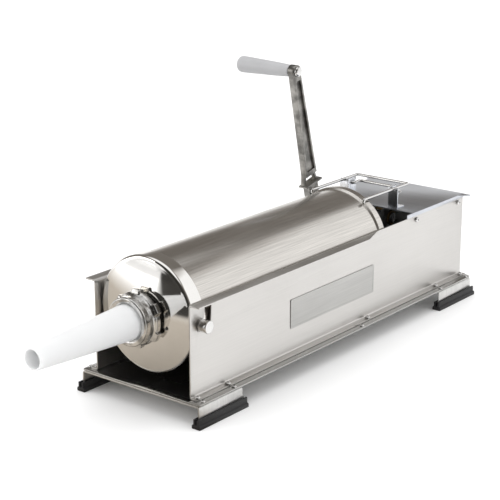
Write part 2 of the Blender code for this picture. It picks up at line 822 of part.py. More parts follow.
def build_trunnions():
    """Each pin stands on the cap's skirt and ends in a knob outside its panel."""
    start = CAP_RADIUS + GAP + 0.3 * MM
    profile = [
        (0, KNOB_END),
        (KNOB_RADIUS - 0.8 * MM, KNOB_END),
        (KNOB_RADIUS, KNOB_END - 0.8 * MM),
        (KNOB_RADIUS, KNOB_START),
        (PIN_RADIUS, KNOB_START),
        (PIN_RADIUS, start),
        (0, start),
    ]
    for label, side in SIDES:
        axis = "X" if side > 0 else "-X"
        pin = turned(f"trunnion_knob_{label}", profile, 24, axis=axis)
        place(pin, "polished_steel", (0, PIN_Y, PIN_Z))


# ---------------------------------------------------------------- piston and rack


def build_piston(carriage):
    profile = [
        (5.5 * MM, PISTON_REAR),
        (PISTON_RADIUS, PISTON_REAR),
        (PISTON_RADIUS, PISTON_REAR - 3 * MM),
        (GROOVE_RADIUS, PISTON_REAR - 3 * MM),
        (GROOVE_RADIUS, PISTON_FRONT + 3 * MM),
        (PISTON_RADIUS, PISTON_FRONT + 3 * MM),
        (PISTON_RADIUS - 2 * MM, PISTON_FRONT),
        (5.5 * MM, PISTON_FRONT),
    ]
    piston = turned("piston", profile, 32, closed=True, axis="Y")
    place(piston, "white_plastic", (0, 0, AXIS_Z), carriage)
    rear = PISTON_REAR - 3 * MM - GAP
    front = PISTON_FRONT + 3 * MM + GAP
    seal_profile = [
        (GROOVE_RADIUS + GAP, rear),
        (SEAL_RADIUS - 1 * MM, rear),
        (SEAL_RADIUS, (rear + front) / 2),
        (SEAL_RADIUS - 1 * MM, front),
        (GROOVE_RADIUS + GAP, front),
    ]
    seal = turned("piston_seal", seal_profile, 32, closed=True, axis="Y")
    place(seal, "black_rubber", (0, 0, AXIS_Z), carriage)
    screw_profile_points = [
        (0, PISTON_REAR),
        (5 * MM, PISTON_REAR),
        (5 * MM, PISTON_FRONT - GAP),
        (10 * MM, PISTON_FRONT - GAP),
        (10 * MM, PISTON_FRONT - 4 * MM),
        (8 * MM, PISTON_FRONT - 6 * MM),
        (0, PISTON_FRONT - 6 * MM),
    ]
    screw = turned("piston_screw", screw_profile_points, 16, axis="Y")
    place(screw, "polished_steel", (0, 0, AXIS_Z), carriage)
    rack = outline("rack", [rack_outline()], 2 * RACK_HALF_WIDTH)
    rack.rotation_euler = (math.radians(90), 0, math.radians(90))
    place(rack, "gear_steel", (0, 0, 0), carriage)


# ---------------------------------------------------------------- gearbox


def shaft(name, radius, square_end, round_start, round_end):
    """A round shaft along X with a square driving end."""
    obj = rods(name, radius, [((round_start, 0, 0), (round_end, 0, 0))], "X", 24)
    half = SQUARE / 2
    square = box(f"{name}_square", (square_end, -half, -half), (round_start + 2 * MM, half, half))
    return obj, as_cutter(square)


def build_shafts(crank_axis, lay_axis):
    end = RIGHT_PLATE[1] + 4 * MM
    shaft_object, square = shaft("input_shaft", INPUT_RADIUS, -108 * MM, -80 * MM, end)
    square.location = crank_axis.location
    square.rotation_euler = (CRANK_LEAN, 0, 0)
    place(shaft_object, "gear_steel", crank_axis.location, crank_axis)
    boolean(shaft_object, square, "UNION")
    shaft_object, square = shaft("layshaft", LAYSHAFT_RADIUS, -94 * MM, -79 * MM, end)
    square.location = lay_axis.location
    place(shaft_object, "gear_steel", lay_axis.location, lay_axis)
    boolean(shaft_object, square, "UNION")


def build_gears(crank_axis, lay_axis):
    """The large gear has a tooth gap where the input pinion has a tooth, on the line of centres."""
    toward_input = math.atan2(INPUT_Z - LAYSHAFT_Z, INPUT_Y - LAYSHAFT_Y)
    pinion = gear("input_pinion", INPUT_TEETH, toward_input + math.pi, GEAR_WIDTH, INPUT_RADIUS + GAP)
    place(pinion, "gear_steel", crank_axis.location + Vector((GEAR_CENTRE_X, 0, 0)), crank_axis)
    half_tooth = math.pi / LARGE_TEETH
    large = gear("large_gear", LARGE_TEETH, toward_input + half_tooth, GEAR_WIDTH, LAYSHAFT_RADIUS + GAP)
    place(large, "gear_steel", lay_axis.location + Vector((GEAR_CENTRE_X, 0, 0)), lay_axis)
    half_tooth = math.pi / RACK_PINION_TEETH
    bore = LAYSHAFT_RADIUS + GAP
    small = gear("rack_pinion", RACK_PINION_TEETH, math.pi / 2 + half_tooth, 16 * MM, bore)
    place(small, "gear_steel", lay_axis.location, lay_axis)


def build_bearing_plate(name, span, bores):
    """An upright plate of the gearbox, with a hole for each bush and a foot on the base."""
    outward = -1 if span[0] < 0 else 1
    loop = rounded_rectangle(PLATE_FRONT, BASE_TOP + GAP, PLATE_REAR, PLATE_TOP, (1 * MM,) * 4, 1)
    loops = [loop] + [circle(radius, 24, (y, z)) for y, z, radius in bores]
    plate = outline(name, loops, span[1] - span[0])
    plate.rotation_euler = (math.radians(90), 0, math.radians(90))
    plate = meshed(plate)
    place(plate, "satin_steel", ((span[0] + span[1]) / 2, 0, 0))
    edge = span[0] if outward < 0 else span[1]
    foot_ends = sorted((edge - outward * 2 * MM, edge + outward * 8 * MM))
    low = (foot_ends[0], PLATE_FRONT + 5 * MM, BASE_TOP + GAP + 0.1 * MM)
    high = (foot_ends[1], PLATE_REAR - 5 * MM, BASE_TOP + GAP + 4 * MM)
    boolean(plate, as_cutter(box(f"{name}_foot", low, high)), "UNION")


def build_bush(name, x, y, z, radius):
    inner = radius + RUNNING
    outer = radius + BUSH_WALL
    half = BUSH_LENGTH / 2
    profile = [(inner, half), (outer, half), (outer, -half), (inner, -half)]
    place(turned(name, profile, 24, closed=True, axis="X"), "bronze", (x, y, z))


def build_gearbox():
    input_hole = INPUT_RADIUS + BUSH_WALL + GAP
    lay_hole = LAYSHAFT_RADIUS + BUSH_WALL + GAP
    bores = ((INPUT_Y, INPUT_Z, input_hole), (LAYSHAFT_Y, LAYSHAFT_Z, lay_hole))
    for label, span in (("left", LEFT_PLATE), ("right", RIGHT_PLATE)):
        build_bearing_plate(f"{label}_bearing_plate", span, bores)
        middle = (span[0] + span[1]) / 2
        build_bush(f"input_bush_{label}", middle, INPUT_Y, INPUT_Z, INPUT_RADIUS)
        build_bush(f"layshaft_bush_{label}", middle, LAYSHAFT_Y, LAYSHAFT_Z, LAYSHAFT_RADIUS)
    start = LEFT_PLATE[1] + GAP
    end = RIGHT_PLATE[0] - GAP
    for name, y, z in (("front_spacer_bar", 471 * MM, 50 * MM), ("rear_spacer_bar", 558 * MM, 133 * MM)):
        place(rods(name, 5 * MM, [((start, 0, 0), (end, 0, 0))], "X", 16), "satin_steel", (0, y, z))
    low = (-12 * MM, LAYSHAFT_Y - 17 * MM, RACK_TOP + GAP)
    high = (end, LAYSHAFT_Y + 17 * MM, RACK_TOP + 12 * MM)
    place(box("rack_guide", low, high), "bronze")


# ---------------------------------------------------------------- crank


def arm_loop(collar):
    """The arm's outline in (across, along) from the hub's axis: a flare, two ribs and the round eye."""
    eye = [
        (EYE_RADIUS * math.cos(a), CRANK_LENGTH + EYE_RADIUS * math.sin(a))
        for a in (math.radians(212 - 244 * i / 14) for i in range(15))
    ]
    left = [
        (-FOOT_FLARE, collar),
        (-12 * MM, collar + 15 * MM),
        (-11.6 * MM, collar + 30 * MM),
    ]
    return left + eye + [(-x, y) for x, y in reversed(left)]


def crank_shape(name, loops, x0, x1):
    """A plate in the crank's plane, from x0 to x1. Its first outline may have holes."""
    shape = outline(name, loops, x1 - x0)
    shape.rotation_euler = (math.radians(90), 0, math.radians(90))
    shape = meshed(shape)
    shape.data.transform(shape.rotation_euler.to_matrix().to_4x4())
    shape.data.transform(Matrix.Translation(((x0 + x1) / 2, 0, 0)))
    shape.rotation_euler = (0, 0, 0)
    return shape


def build_crank(crank_axis):
    """Cast arm: a web between two ribs, an open foot on a thin collar, and a hub with a square hole."""
    collar = COLLAR_HEIGHT
    leaning = axis_empty("crank_leaning", crank_axis.location)
    leaning.parent = crank_axis
    leaning.location = (0, 0, 0)
    leaning.rotation_euler = (CRANK_LEAN, 0, 0)
    window_top = collar + 13 * MM
    window = [
        (-FOOT_FLARE + 4 * MM, collar + 1 * MM),
        (-8 * MM, window_top),
        (8 * MM, window_top),
        (FOOT_FLARE - 4 * MM, collar + 1 * MM),
    ]
    bolt_hole = circle(4.4 * MM, 16, (0, CRANK_LENGTH))
    arm = crank_shape("crank_arm", [arm_loop(collar), window, bolt_hole], ARM_OUTER_X, ARM_INNER_X)
    place(arm, "cast_steel")
    arm.parent = leaning
    half = SQUARE / 2 + GAP
    square_loop = [(-half, -half), (half, -half), (half, half), (-half, half)]
    neck_top = collar + 0.4 * MM
    neck_loop = [(-NECK_HALF, 0), (NECK_HALF, 0), (NECK_HALF, neck_top), (-NECK_HALF, neck_top)]
    collar_half = COLLAR_THICKNESS / 2
    collar_corners = (0.8 * MM,) * 4
    collar_loop = rounded_rectangle(
        -COLLAR_REACH, collar - collar_half, COLLAR_REACH, collar + collar_half, collar_corners, 2
    )
    relief_loop = [
        (-22 * MM, collar + 2 * MM),
        (22 * MM, collar + 2 * MM),
        (22 * MM, window_top),
        (-22 * MM, window_top),
    ]
    pocket = [
        (-8.6 * MM, collar + 20 * MM),
        (-4.8 * MM, CRANK_LENGTH - 14 * MM),
        (4.8 * MM, CRANK_LENGTH - 14 * MM),
        (8.6 * MM, collar + 20 * MM),
    ]
    hub_outer = ARM_OUTER_X - 0.8 * MM
    tools = (
        ("UNION", "crank_hub", [circle(HUB_RADIUS, 32)], hub_outer, HUB_INNER_X),
        ("UNION", "crank_neck", [neck_loop], ARM_OUTER_X - 0.4 * MM, ARM_INNER_X + 0.4 * MM),
        ("UNION", "crank_collar", [collar_loop], ARM_OUTER_X - 2 * MM, ARM_INNER_X + 3 * MM),
        ("DIFFERENCE", "crank_square", [square_loop], hub_outer - 2 * MM, HUB_INNER_X + 2 * MM),
        ("DIFFERENCE", "crank_relief", [relief_loop], ARM_INNER_X - 4 * MM, ARM_INNER_X + 6 * MM),
        ("DIFFERENCE", "crank_pocket_near", [pocket], ARM_INNER_X - 3.5 * MM, ARM_INNER_X + 5 * MM),
        ("DIFFERENCE", "crank_pocket_far", [pocket], ARM_OUTER_X - 5 * MM, ARM_OUTER_X + 3.5 * MM),
    )
    for operation, name, loops, x0, x1 in tools:
        tool = as_cutter(crank_shape(name, loops, x0, x1))
        tool.parent = leaning
        boolean(arm, tool, operation)
    screw_outer = ARM_OUTER_X - 0.8 * MM - GAP
    profile = [
        (0, -screw_outer + 6 * MM),
        (6 * MM, -screw_outer + 6 * MM),
        (6.6 * MM, -screw_outer + 5 * MM),
        (6.6 * MM, -screw_outer + 1.6 * MM),
        (11 * MM, -screw_outer + 1.6 * MM),
        (11 * MM, -screw_outer),
        (4 * MM, -screw_outer),
        (4 * MM, 108.3 * MM),
        (0, 108.3 * MM),
    ]
    screw = turned("crank_screw", profile, 16, axis="-X")
    place(screw, "polished_steel", crank_axis.location, crank_axis)


def build_grip(crank_axis, grip_axis):
    length = GRIP_START - GRIP_END
    profile = [(0, length)]
    profile += [
        (GRIP_END_RADIUS * math.sin(a), length - 4 * MM * (1 - math.cos(a)))
        for a in (math.radians(30 * i) for i in (1, 2, 3))
    ]
    profile += [
        (GRIP_START_RADIUS + 0.6 * MM, 8 * MM),
        (GRIP_START_RADIUS, 0),
        (4.6 * MM, 0),
        (4.6 * MM, length - 12 * MM),
        (0, length - 12 * MM),
    ]
    grip = turned("crank_grip", profile, 24, axis="-X")
    grip_location = grip_axis.location + crank_axis.location
    place(grip, "grey_plastic")
    grip.parent = grip_axis
    grip.location = (GRIP_START, 0, 0)
    head = -(ARM_INNER_X + GAP)
    bolt_profile = [
        (0, length - GRIP_START - 14 * MM),
        (4 * MM, length - GRIP_START - 14 * MM),
        (4 * MM, head),
        (7 * MM, head),
        (7 * MM, head - 3.5 * MM),
        (5.5 * MM, head - 5 * MM),
        (0, head - 5 * MM),
    ]
    bolt = turned("grip_bolt", bolt_profile, 16, axis="-X")
    place(bolt, "polished_steel", grip_location, crank_axis)


# ---------------------------------------------------------------- bail


def build_bail(bail_axis):
    """The outer wire hooks over the tube's rim and ends in a handle; the inner one is its axle."""
    lift = BAIL_LIFT
    half = BAIL_HALF_WIDTH
    hook_y = BAIL_HOOK_Y - BAIL_Y
    handle_y = BAIL_HANDLE_Y - BAIL_Y
    right_half = [
        (half, hook_y, 1.7 * MM),
        (half, hook_y, lift),
        (half, handle_y, lift),
    ]
    left_half = [(-x, y, z) for x, y, z in reversed(right_half)]
    route = rounded_route(right_half + left_half, 2.2 * MM, 3)
    place(wire("bail_wire", route, WIRE_RADIUS), "polished_steel", bail_axis.location, bail_axis)
    inner_y = 14 * MM
    turn_x = 29.5 * MM
    axle_half = [(half + 6 * MM, 0, 0), (turn_x, 0, 0), (turn_x, inner_y, 1 * MM)]
    axle_route = rounded_route(axle_half + [(-x, y, z) for x, y, z in reversed(axle_half)], 3 * MM, 3)
    place(wire("bail_axle", axle_route, WIRE_RADIUS), "polished_steel", bail_axis.location, bail_axis)
    hole_ends = [((-60 * MM, BAIL_Y, BAIL_Z), (60 * MM, BAIL_Y, BAIL_Z))]
    holes = as_cutter(rods("bail_holes", WIRE_RADIUS + GAP, hole_ends, "X", 12))
    for label, side in SIDES:
        build_bail_bracket(label, side, holes)


def build_bail_bracket(label, side, holes):
    """An upright angle, its foot on the cover: one leaf faces forward, and the wire turns in the other."""
    leaf = 1.6 * MM
    front = BAIL_Y - BRACKET_DEPTH / 2
    rear = BAIL_Y + BRACKET_DEPTH / 2
    outer = BRACKET_INNER_X + BRACKET_WIDTH
    bottom = COVER_TOP + GAP
    loop = [
        (side * BRACKET_INNER_X, front),
        (side * outer, front),
        (side * outer, front + leaf),
        (side * (BRACKET_INNER_X + leaf), front + leaf),
        (side * (BRACKET_INNER_X + leaf), rear),
        (side * BRACKET_INNER_X, rear),
    ]
    height = BRACKET_TOP - bottom
    bracket = meshed(outline(f"bail_bracket_{label}", [loop], height))
    place(bracket, "satin_steel", (0, 0, bottom + height / 2))
    ends = sorted((side * (BRACKET_INNER_X + 0.2 * MM), side * (outer - 0.2 * MM)))
    foot = box(
        f"bail_foot_{label}",
        (ends[0], front + 0.2 * MM, bottom + 0.01 * MM),
        (ends[1], rear - 0.2 * MM, bottom + leaf),
    )
    boolean(bracket, as_cutter(foot), "UNION")
    notch_half = WIRE_RADIUS + 0.4 * MM
    notch_ends = sorted((side * (BAIL_HALF_WIDTH - notch_half), side * (BAIL_HALF_WIDTH + notch_half)))
    notch = box(
        f"bail_notch_{label}",
        (notch_ends[0], front - 1 * MM, BAIL_Z + BAIL_LIFT - notch_half),
        (notch_ends[1], front + leaf + 1 * MM, BRACKET_TOP + 1 * MM),
    )
    boolean(bracket, as_cutter(notch))
    boolean(bracket, holes)


# ---------------------------------------------------------------- the whole machine


clear_scene()
PARTS = new_collection("sausage_stuffer")
CUTTERS = new_collection("cutters")
MACHINE = bpy.data.objects.new("machine", None)
PARTS.objects.link(MACHINE)
MACHINE.location = (-ORIGIN_X, -ORIGIN_Y, 0)


def build():
    crank_axis = axis_empty("crank_axis", (0, INPUT_Y, INPUT_Z))
    lay_axis = axis_empty("layshaft_axis", (0, LAYSHAFT_Y, LAYSHAFT_Z))
    carriage = axis_empty("rack_carriage", (0, 0, 0))
    bail_axis = axis_empty("bail_axis", (0, BAIL_Y, BAIL_Z))
    grip_axis = axis_empty("grip_axis", (0, EYE_Y - INPUT_Y, EYE_Z - INPUT_Z))
    grip_axis.parent = crank_axis
    holes = screw_hole_cutter()
    shaft_holes = shaft_hole_cutter()
    cover_holes = {label: cover_screw_cutter(label, side) for label, side in SIDES}
    build_base(holes)
    build_leg("front_leg_bracket", BASE_FRONT, LEG_LENGTH, holes)
    build_leg("rear_leg_bracket", REAR_LEG_START, REAR_LEG_LENGTH, holes)
    for label, side in SIDES:
        build_foot(f"front_foot_{label}", side, BASE_FRONT, LEG_LENGTH)
        build_foot(f"rear_foot_{label}", side, REAR_LEG_START, REAR_LEG_LENGTH)
        build_panel(label, side, holes, cover_holes[label], shaft_holes if side < 0 else None)
    build_rear_plate()
    build_cover(shaft_holes, cover_holes)
    build_nameplate()
    build_screws()
    build_tube()
    build_cap()
    build_spigot()
    build_ring_nut()
    build_nozzle()
    build_trunnions()
    build_piston(carriage)
    build_shafts(crank_axis, lay_axis)
    build_gears(crank_axis, lay_axis)
    build_gearbox()
    build_crank(crank_axis)
    build_grip(crank_axis, grip_axis)
    build_bail(bail_axis)


build()
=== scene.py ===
"""Looks of the horizontal sausage stuffer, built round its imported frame.

Pieces are made in the machine's own coordinates, in metres: X 0 at the middle, Y 0 at the side panels'
front edge, Z 0 at the floor. The nozzle points to -Y and the crank is on the -X side.
"""

import math

import bmesh
import bpy
from mathutils import Matrix, Vector


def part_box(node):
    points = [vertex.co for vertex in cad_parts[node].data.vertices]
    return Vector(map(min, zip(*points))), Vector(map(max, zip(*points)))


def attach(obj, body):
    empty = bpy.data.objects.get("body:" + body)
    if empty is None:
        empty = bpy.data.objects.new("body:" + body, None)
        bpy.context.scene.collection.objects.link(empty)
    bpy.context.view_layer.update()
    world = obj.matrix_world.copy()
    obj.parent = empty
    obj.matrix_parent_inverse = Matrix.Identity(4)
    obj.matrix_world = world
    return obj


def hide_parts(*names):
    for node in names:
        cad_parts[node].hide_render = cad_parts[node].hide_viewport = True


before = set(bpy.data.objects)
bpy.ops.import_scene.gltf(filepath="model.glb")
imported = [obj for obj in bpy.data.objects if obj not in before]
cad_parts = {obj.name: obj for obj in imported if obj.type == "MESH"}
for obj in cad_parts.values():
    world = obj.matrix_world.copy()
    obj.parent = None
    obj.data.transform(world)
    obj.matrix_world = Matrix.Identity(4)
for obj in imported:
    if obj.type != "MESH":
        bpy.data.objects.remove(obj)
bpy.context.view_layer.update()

MM = 0.001
BASE_LOW, BASE_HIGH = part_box("base_plate")
ORIGIN = Vector(((BASE_LOW.x + BASE_HIGH.x) / 2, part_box("right_side_panel")[0].y, 0))


def span(node):
    """A CAD node's box in the machine's coordinates."""
    low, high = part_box(node)
    return low - ORIGIN, high - ORIGIN


TUBE_LOW, TUBE_HIGH = span("tube")
AXIS_Z = (TUBE_LOW.z + TUBE_HIGH.z) / 2
PANEL_LOW, PANEL_HIGH = span("right_side_panel")
COVER_LOW, COVER_HIGH = span("top_cover")
BASE_TOP = BASE_HIGH.z
SIDES = (("left", -1), ("right", 1))


# ---------------------------------------------------------------- materials


def shader_material(name):
    look = bpy.data.materials.new(name)
    look.use_nodes = True
    return look, look.node_tree, look.node_tree.nodes["Principled BSDF"]


def texture(tree, kind, stretch=(1, 1, 1), **inputs):
    """A texture node fed with stretched object coordinates."""
    coordinates = tree.nodes.new("ShaderNodeTexCoord")
    mapping = tree.nodes.new("ShaderNodeMapping")
    mapping.inputs["Scale"].default_value = stretch
    node = tree.nodes.new(kind)
    tree.links.new(coordinates.outputs["Object"], mapping.inputs["Vector"])
    tree.links.new(mapping.outputs["Vector"], node.inputs["Vector"])
    for key, value in inputs.items():
        node.inputs[key.replace("_", " ")].default_value = value
    return node


def blend_colours(tree, factor, low, high, span_=(0.35, 0.65)):
    """A ramp between two colours, driven by a texture's value."""
    ramp = tree.nodes.new("ShaderNodeValToRGB")
    ramp.color_ramp.elements[0].position = span_[0]
    ramp.color_ramp.elements[1].position = span_[1]
    ramp.color_ramp.elements[0].color = (*low, 1)
    ramp.color_ramp.elements[1].color = (*high, 1)
    tree.links.new(factor, ramp.inputs["Fac"])
    return ramp.outputs["Color"]


def mix(tree, kind, factor, a, b):
    node = tree.nodes.new("ShaderNodeMix")
    node.data_type = "RGBA"
    node.blend_type = kind
    node.inputs["Factor"].default_value = factor
    tree.links.new(a, node.inputs["A"])
    tree.links.new(b, node.inputs["B"])
    return node.outputs["Result"]


def blend(tree, factor, a, b):
    """Colour a where the factor is 0 and colour b where it is 1."""
    node = tree.nodes.new("ShaderNodeMix")
    node.data_type = "RGBA"
    tree.links.new(factor, node.inputs["Factor"])
    tree.links.new(a, node.inputs["A"])
    tree.links.new(b, node.inputs["B"])
    return node.outputs["Result"]


def ranged(tree, value, low, high):
    node = tree.nodes.new("ShaderNodeMapRange")
    node.inputs["From Min"].default_value = 0.3
    node.inputs["From Max"].default_value = 0.7
    node.inputs["To Min"].default_value = low
    node.inputs["To Max"].default_value = high
    tree.links.new(value, node.inputs["Value"])
    return node.outputs["Result"]


def add_bump(tree, shader, height, strength, distance):
    bump = tree.nodes.new("ShaderNodeBump")
    bump.inputs["Strength"].default_value = strength
    bump.inputs["Distance"].default_value = distance
    tree.links.new(height, bump.inputs["Height"])
    tree.links.new(bump.outputs["Normal"], shader.inputs["Normal"])


def brushed_steel(name, colour, roughness, grain_axis="Y", contrast=0.1, grain=0.12):
    """Stainless sheet: fine grain along one axis, broad rolling streaks and faint handling marks."""
    look, tree, shader = shader_material(name)
    shader.inputs["Metallic"].default_value = 1.0
    along = "XYZ".index(grain_axis)
    fine_scale = [1400.0] * 3
    fine_scale[along] = 14.0
    broad_scale = [60.0] * 3
    broad_scale[along] = 1.2
    fine = texture(tree, "ShaderNodeTexNoise", fine_scale, Scale=1.0, Detail=2.0)
    broad = texture(tree, "ShaderNodeTexNoise", broad_scale, Scale=1.0, Detail=3.0)
    marks = texture(tree, "ShaderNodeTexNoise", (1, 1, 1), Scale=9.0, Detail=5.0, Roughness=0.6)
    dark = tuple(c * (1 - contrast) for c in colour)
    light = tuple(min(1.0, c * (1 + contrast)) for c in colour)
    grain_colour = blend_colours(tree, fine.outputs["Fac"], dark, light)
    broad_colour = blend_colours(tree, broad.outputs["Fac"], (1 - contrast,) * 3, (1.0,) * 3)
    colour_mix = mix(tree, "MULTIPLY", 0.8, grain_colour, broad_colour)
    tree.links.new(colour_mix, shader.inputs["Base Color"])
    rough = ranged(tree, marks.outputs["Fac"], roughness * 0.85, roughness * 1.2)
    tree.links.new(rough, shader.inputs["Roughness"])
    add_bump(tree, shader, fine.outputs["Fac"], grain, 0.00003)
    return look


def polished_steel(name, colour, roughness):
    """Mirror steel with smudges that change its roughness a little."""
    look, tree, shader = shader_material(name)
    shader.inputs["Metallic"].default_value = 1.0
    smudge = texture(tree, "ShaderNodeTexNoise", (1, 1, 1), Scale=22.0, Detail=6.0, Roughness=0.65)
    wave = texture(tree, "ShaderNodeTexNoise", (1, 1, 1), Scale=30.0, Detail=1.0)
    dark = tuple(c * 0.94 for c in colour)
    tree.links.new(blend_colours(tree, smudge.outputs["Fac"], dark, colour), shader.inputs["Base Color"])
    rough = ranged(tree, smudge.outputs["Fac"], roughness * 0.7, roughness * 1.5)
    tree.links.new(rough, shader.inputs["Roughness"])
    add_bump(tree, shader, wave.outputs["Fac"], 0.1, 0.0002)
    return look


def cast_metal(name, colour, roughness, pit_scale=700.0, lumps=0.55):
    """A plated casting: an uneven skin with small pits, and a tone that goes darker in random blotches."""
    look, tree, shader = shader_material(name)
    shader.inputs["Metallic"].default_value = 1.0
    skin = texture(tree, "ShaderNodeTexNoise", (1, 1, 1), Scale=150.0, Detail=6.0, Roughness=0.6)
    pits = texture(tree, "ShaderNodeTexVoronoi", (1, 1, 1), Scale=pit_scale)
    blotch = texture(tree, "ShaderNodeTexNoise", (1, 1, 1), Scale=60.0, Detail=4.0)
    low = tuple(c * 0.42 for c in colour)
    tone = blend_colours(tree, blotch.outputs["Fac"], low, colour, (0.38, 0.6))
    tree.links.new(tone, shader.inputs["Base Color"])
    rough = ranged(tree, skin.outputs["Fac"], roughness * 0.7, roughness * 1.3)
    tree.links.new(rough, shader.inputs["Roughness"])
    height = mix(tree, "MULTIPLY", 0.4, skin.outputs["Color"], pits.outputs["Distance"])
    add_bump(tree, shader, height, lumps, 0.0007)
    return look


def machined_steel(name, colour, roughness):
    """Cut steel with an oil film that pools in darker patches."""
    look, tree, shader = shader_material(name)
    shader.inputs["Metallic"].default_value = 1.0
    shader.inputs["Coat Weight"].default_value = 0.15
    cut = texture(tree, "ShaderNodeTexNoise", (900, 900, 900), Scale=1.0, Detail=1.0)
    oil = texture(tree, "ShaderNodeTexNoise", (1, 1, 1), Scale=45.0, Detail=5.0)
    low = tuple(c * 0.55 for c in colour)
    tree.links.new(blend_colours(tree, oil.outputs["Fac"], low, colour), shader.inputs["Base Color"])
    rough = ranged(tree, oil.outputs["Fac"], roughness * 0.7, roughness * 1.25)
    tree.links.new(rough, shader.inputs["Roughness"])
    add_bump(tree, shader, cut.outputs["Fac"], 0.12, 0.00005)
    return look


def moulded(name, colour, roughness, subsurface=0.0, texture_scale=1500.0, bump=0.12, tint=0.06):
    """Moulded plastic or rubber: a fine skin texture and a slow change of tone."""
    look, tree, shader = shader_material(name)
    shader.inputs["Subsurface Weight"].default_value = subsurface
    shader.inputs["Subsurface Radius"].default_value = (0.012, 0.012, 0.012)
    shader.inputs["Subsurface Scale"].default_value = 1.0
    skin = texture(tree, "ShaderNodeTexNoise", (1, 1, 1), Scale=texture_scale, Detail=2.0)
    tone = texture(tree, "ShaderNodeTexNoise", (1, 1, 1), Scale=25.0, Detail=5.0)
    low = tuple(c * (1 - tint) for c in colour)
    tree.links.new(blend_colours(tree, tone.outputs["Fac"], low, colour), shader.inputs["Base Color"])
    rough = ranged(tree, tone.outputs["Fac"], roughness * 0.88, roughness * 1.1)
    tree.links.new(rough, shader.inputs["Roughness"])
    add_bump(tree, shader, skin.outputs["Fac"], bump, 0.0001)
    return look


PANEL_STEEL = brushed_steel("panel_steel", (0.62, 0.605, 0.585), 0.34, "Y", 0.02)
BASE_STEEL = brushed_steel("base_steel", (0.46, 0.455, 0.44), 0.27, "Y", 0.06)
LEG_STEEL = brushed_steel("leg_steel", (0.64, 0.635, 0.62), 0.3, "Z", 0.09)
TUBE_STEEL = brushed_steel("tube_steel", (0.66, 0.635, 0.60), 0.22, "Y", 0.1, 0.2)
COVER_STEEL = brushed_steel("cover_sheet_steel", (0.60, 0.62, 0.66), 0.32, "X", 0.07)
BRACKET_STEEL = brushed_steel("bracket_sheet_steel", (0.80, 0.82, 0.86), 0.25, "Z", 0.05)
PLATE_STEEL = brushed_steel("plate_foil", (0.50, 0.495, 0.48), 0.42, "Y", 0.05)
FRAME_STEEL = brushed_steel("gearbox_sheet_steel", (0.26, 0.26, 0.26), 0.38, "Z", 0.1)
MIRROR_STEEL = polished_steel("mirror_steel", (0.86, 0.845, 0.82), 0.05)
BRIGHT_STEEL = polished_steel("bright_steel", (0.74, 0.735, 0.725), 0.14)
NUT_CHROME = cast_metal("nut_chrome", (0.86, 0.85, 0.83), 0.2, 300.0, 0.25)
CAST_STEEL = cast_metal("cast_arm_steel", (0.34, 0.33, 0.31), 0.36, 500.0, 0.5)
GEAR_STEEL = machined_steel("gear_cut_steel", (0.42, 0.42, 0.43), 0.34)
BRONZE = machined_steel("sintered_bronze", (0.36, 0.25, 0.13), 0.42)
RUBBER = moulded("black_rubber_moulded", (0.012, 0.012, 0.013), 0.55, 0.0, 900.0, 0.35, 0.35)
GRIP_PLASTIC = moulded("grip_plastic", (0.40, 0.40, 0.41), 0.42, 0.05, 1200.0, 0.16, 0.07)
MILKY_PLASTIC = moulded("milky_plastic_moulded", (0.76, 0.765, 0.77), 0.36, 0.45, 1600.0, 0.06, 0.03)
WHITE_PLASTIC = moulded("white_plastic_moulded", (0.85, 0.85, 0.83), 0.42, 0.2, 1400.0, 0.1, 0.05)


# ---------------------------------------------------------------- mesh tools


def smooth(mesh, angle=34):
    mesh.shade_smooth()
    mesh.set_sharp_from_angle(angle=math.radians(angle))


def object_from(bm, name, angle=34):
    mesh = bpy.data.meshes.new(name)
    bm.to_mesh(mesh)
    bm.free()
    smooth(mesh, angle)
    obj = bpy.data.objects.new(name, mesh)
    bpy.context.scene.collection.objects.link(obj)
    return obj


def baked(obj, angle=34):
    """The object with its modifiers applied."""
    bpy.context.view_layer.update()
    graph = bpy.context.evaluated_depsgraph_get()
    mesh = bpy.data.meshes.new_from_object(obj.evaluated_get(graph))
    obj.modifiers.clear()
    obj.data = mesh
    smooth(mesh, angle)
    return obj


def cut(obj, tool, operation="DIFFERENCE"):
    """Applies a Boolean with the tool, and removes the tool."""
    modifier = obj.modifiers.new("cut", "BOOLEAN")
    modifier.operation = operation
    modifier.solver = "EXACT"
    modifier.object = tool
    baked(obj)
    bpy.data.objects.remove(tool, do_unlink=True)
    return obj


def bevelled(obj, width, segments=2, angle=38):
    """Rounds the real edges, those sharper than the angle."""
    bm = bmesh.new()
    bm.from_mesh(obj.data)
    bmesh.ops.remove_doubles(bm, verts=bm.verts, dist=0.000002)
    bmesh.ops.dissolve_limit(bm, angle_limit=math.radians(0.6), verts=bm.verts, edges=bm.edges)
    bm.to_mesh(obj.data)
    bm.free()
    bevel = obj.modifiers.new("edges", "BEVEL")
    bevel.width = width
    bevel.segments = segments
    bevel.limit_method = "ANGLE"
    bevel.angle_limit = math.radians(angle)
    bevel.harden_normals = False
    return baked(obj, 46)


def refined(node, width, segments=2, angle=38):
    """A CAD node's own shape with rounded edges, as a new piece."""
    bm = bmesh.new()
    bm.from_mesh(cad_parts[node].data)
    bmesh.ops.remove_doubles(bm, verts=bm.verts, dist=0.00001)
    bmesh.ops.translate(bm, verts=bm.verts, vec=-ORIGIN)
    return bevelled(object_from(bm, f"{node}_shown"), width, segments, angle)


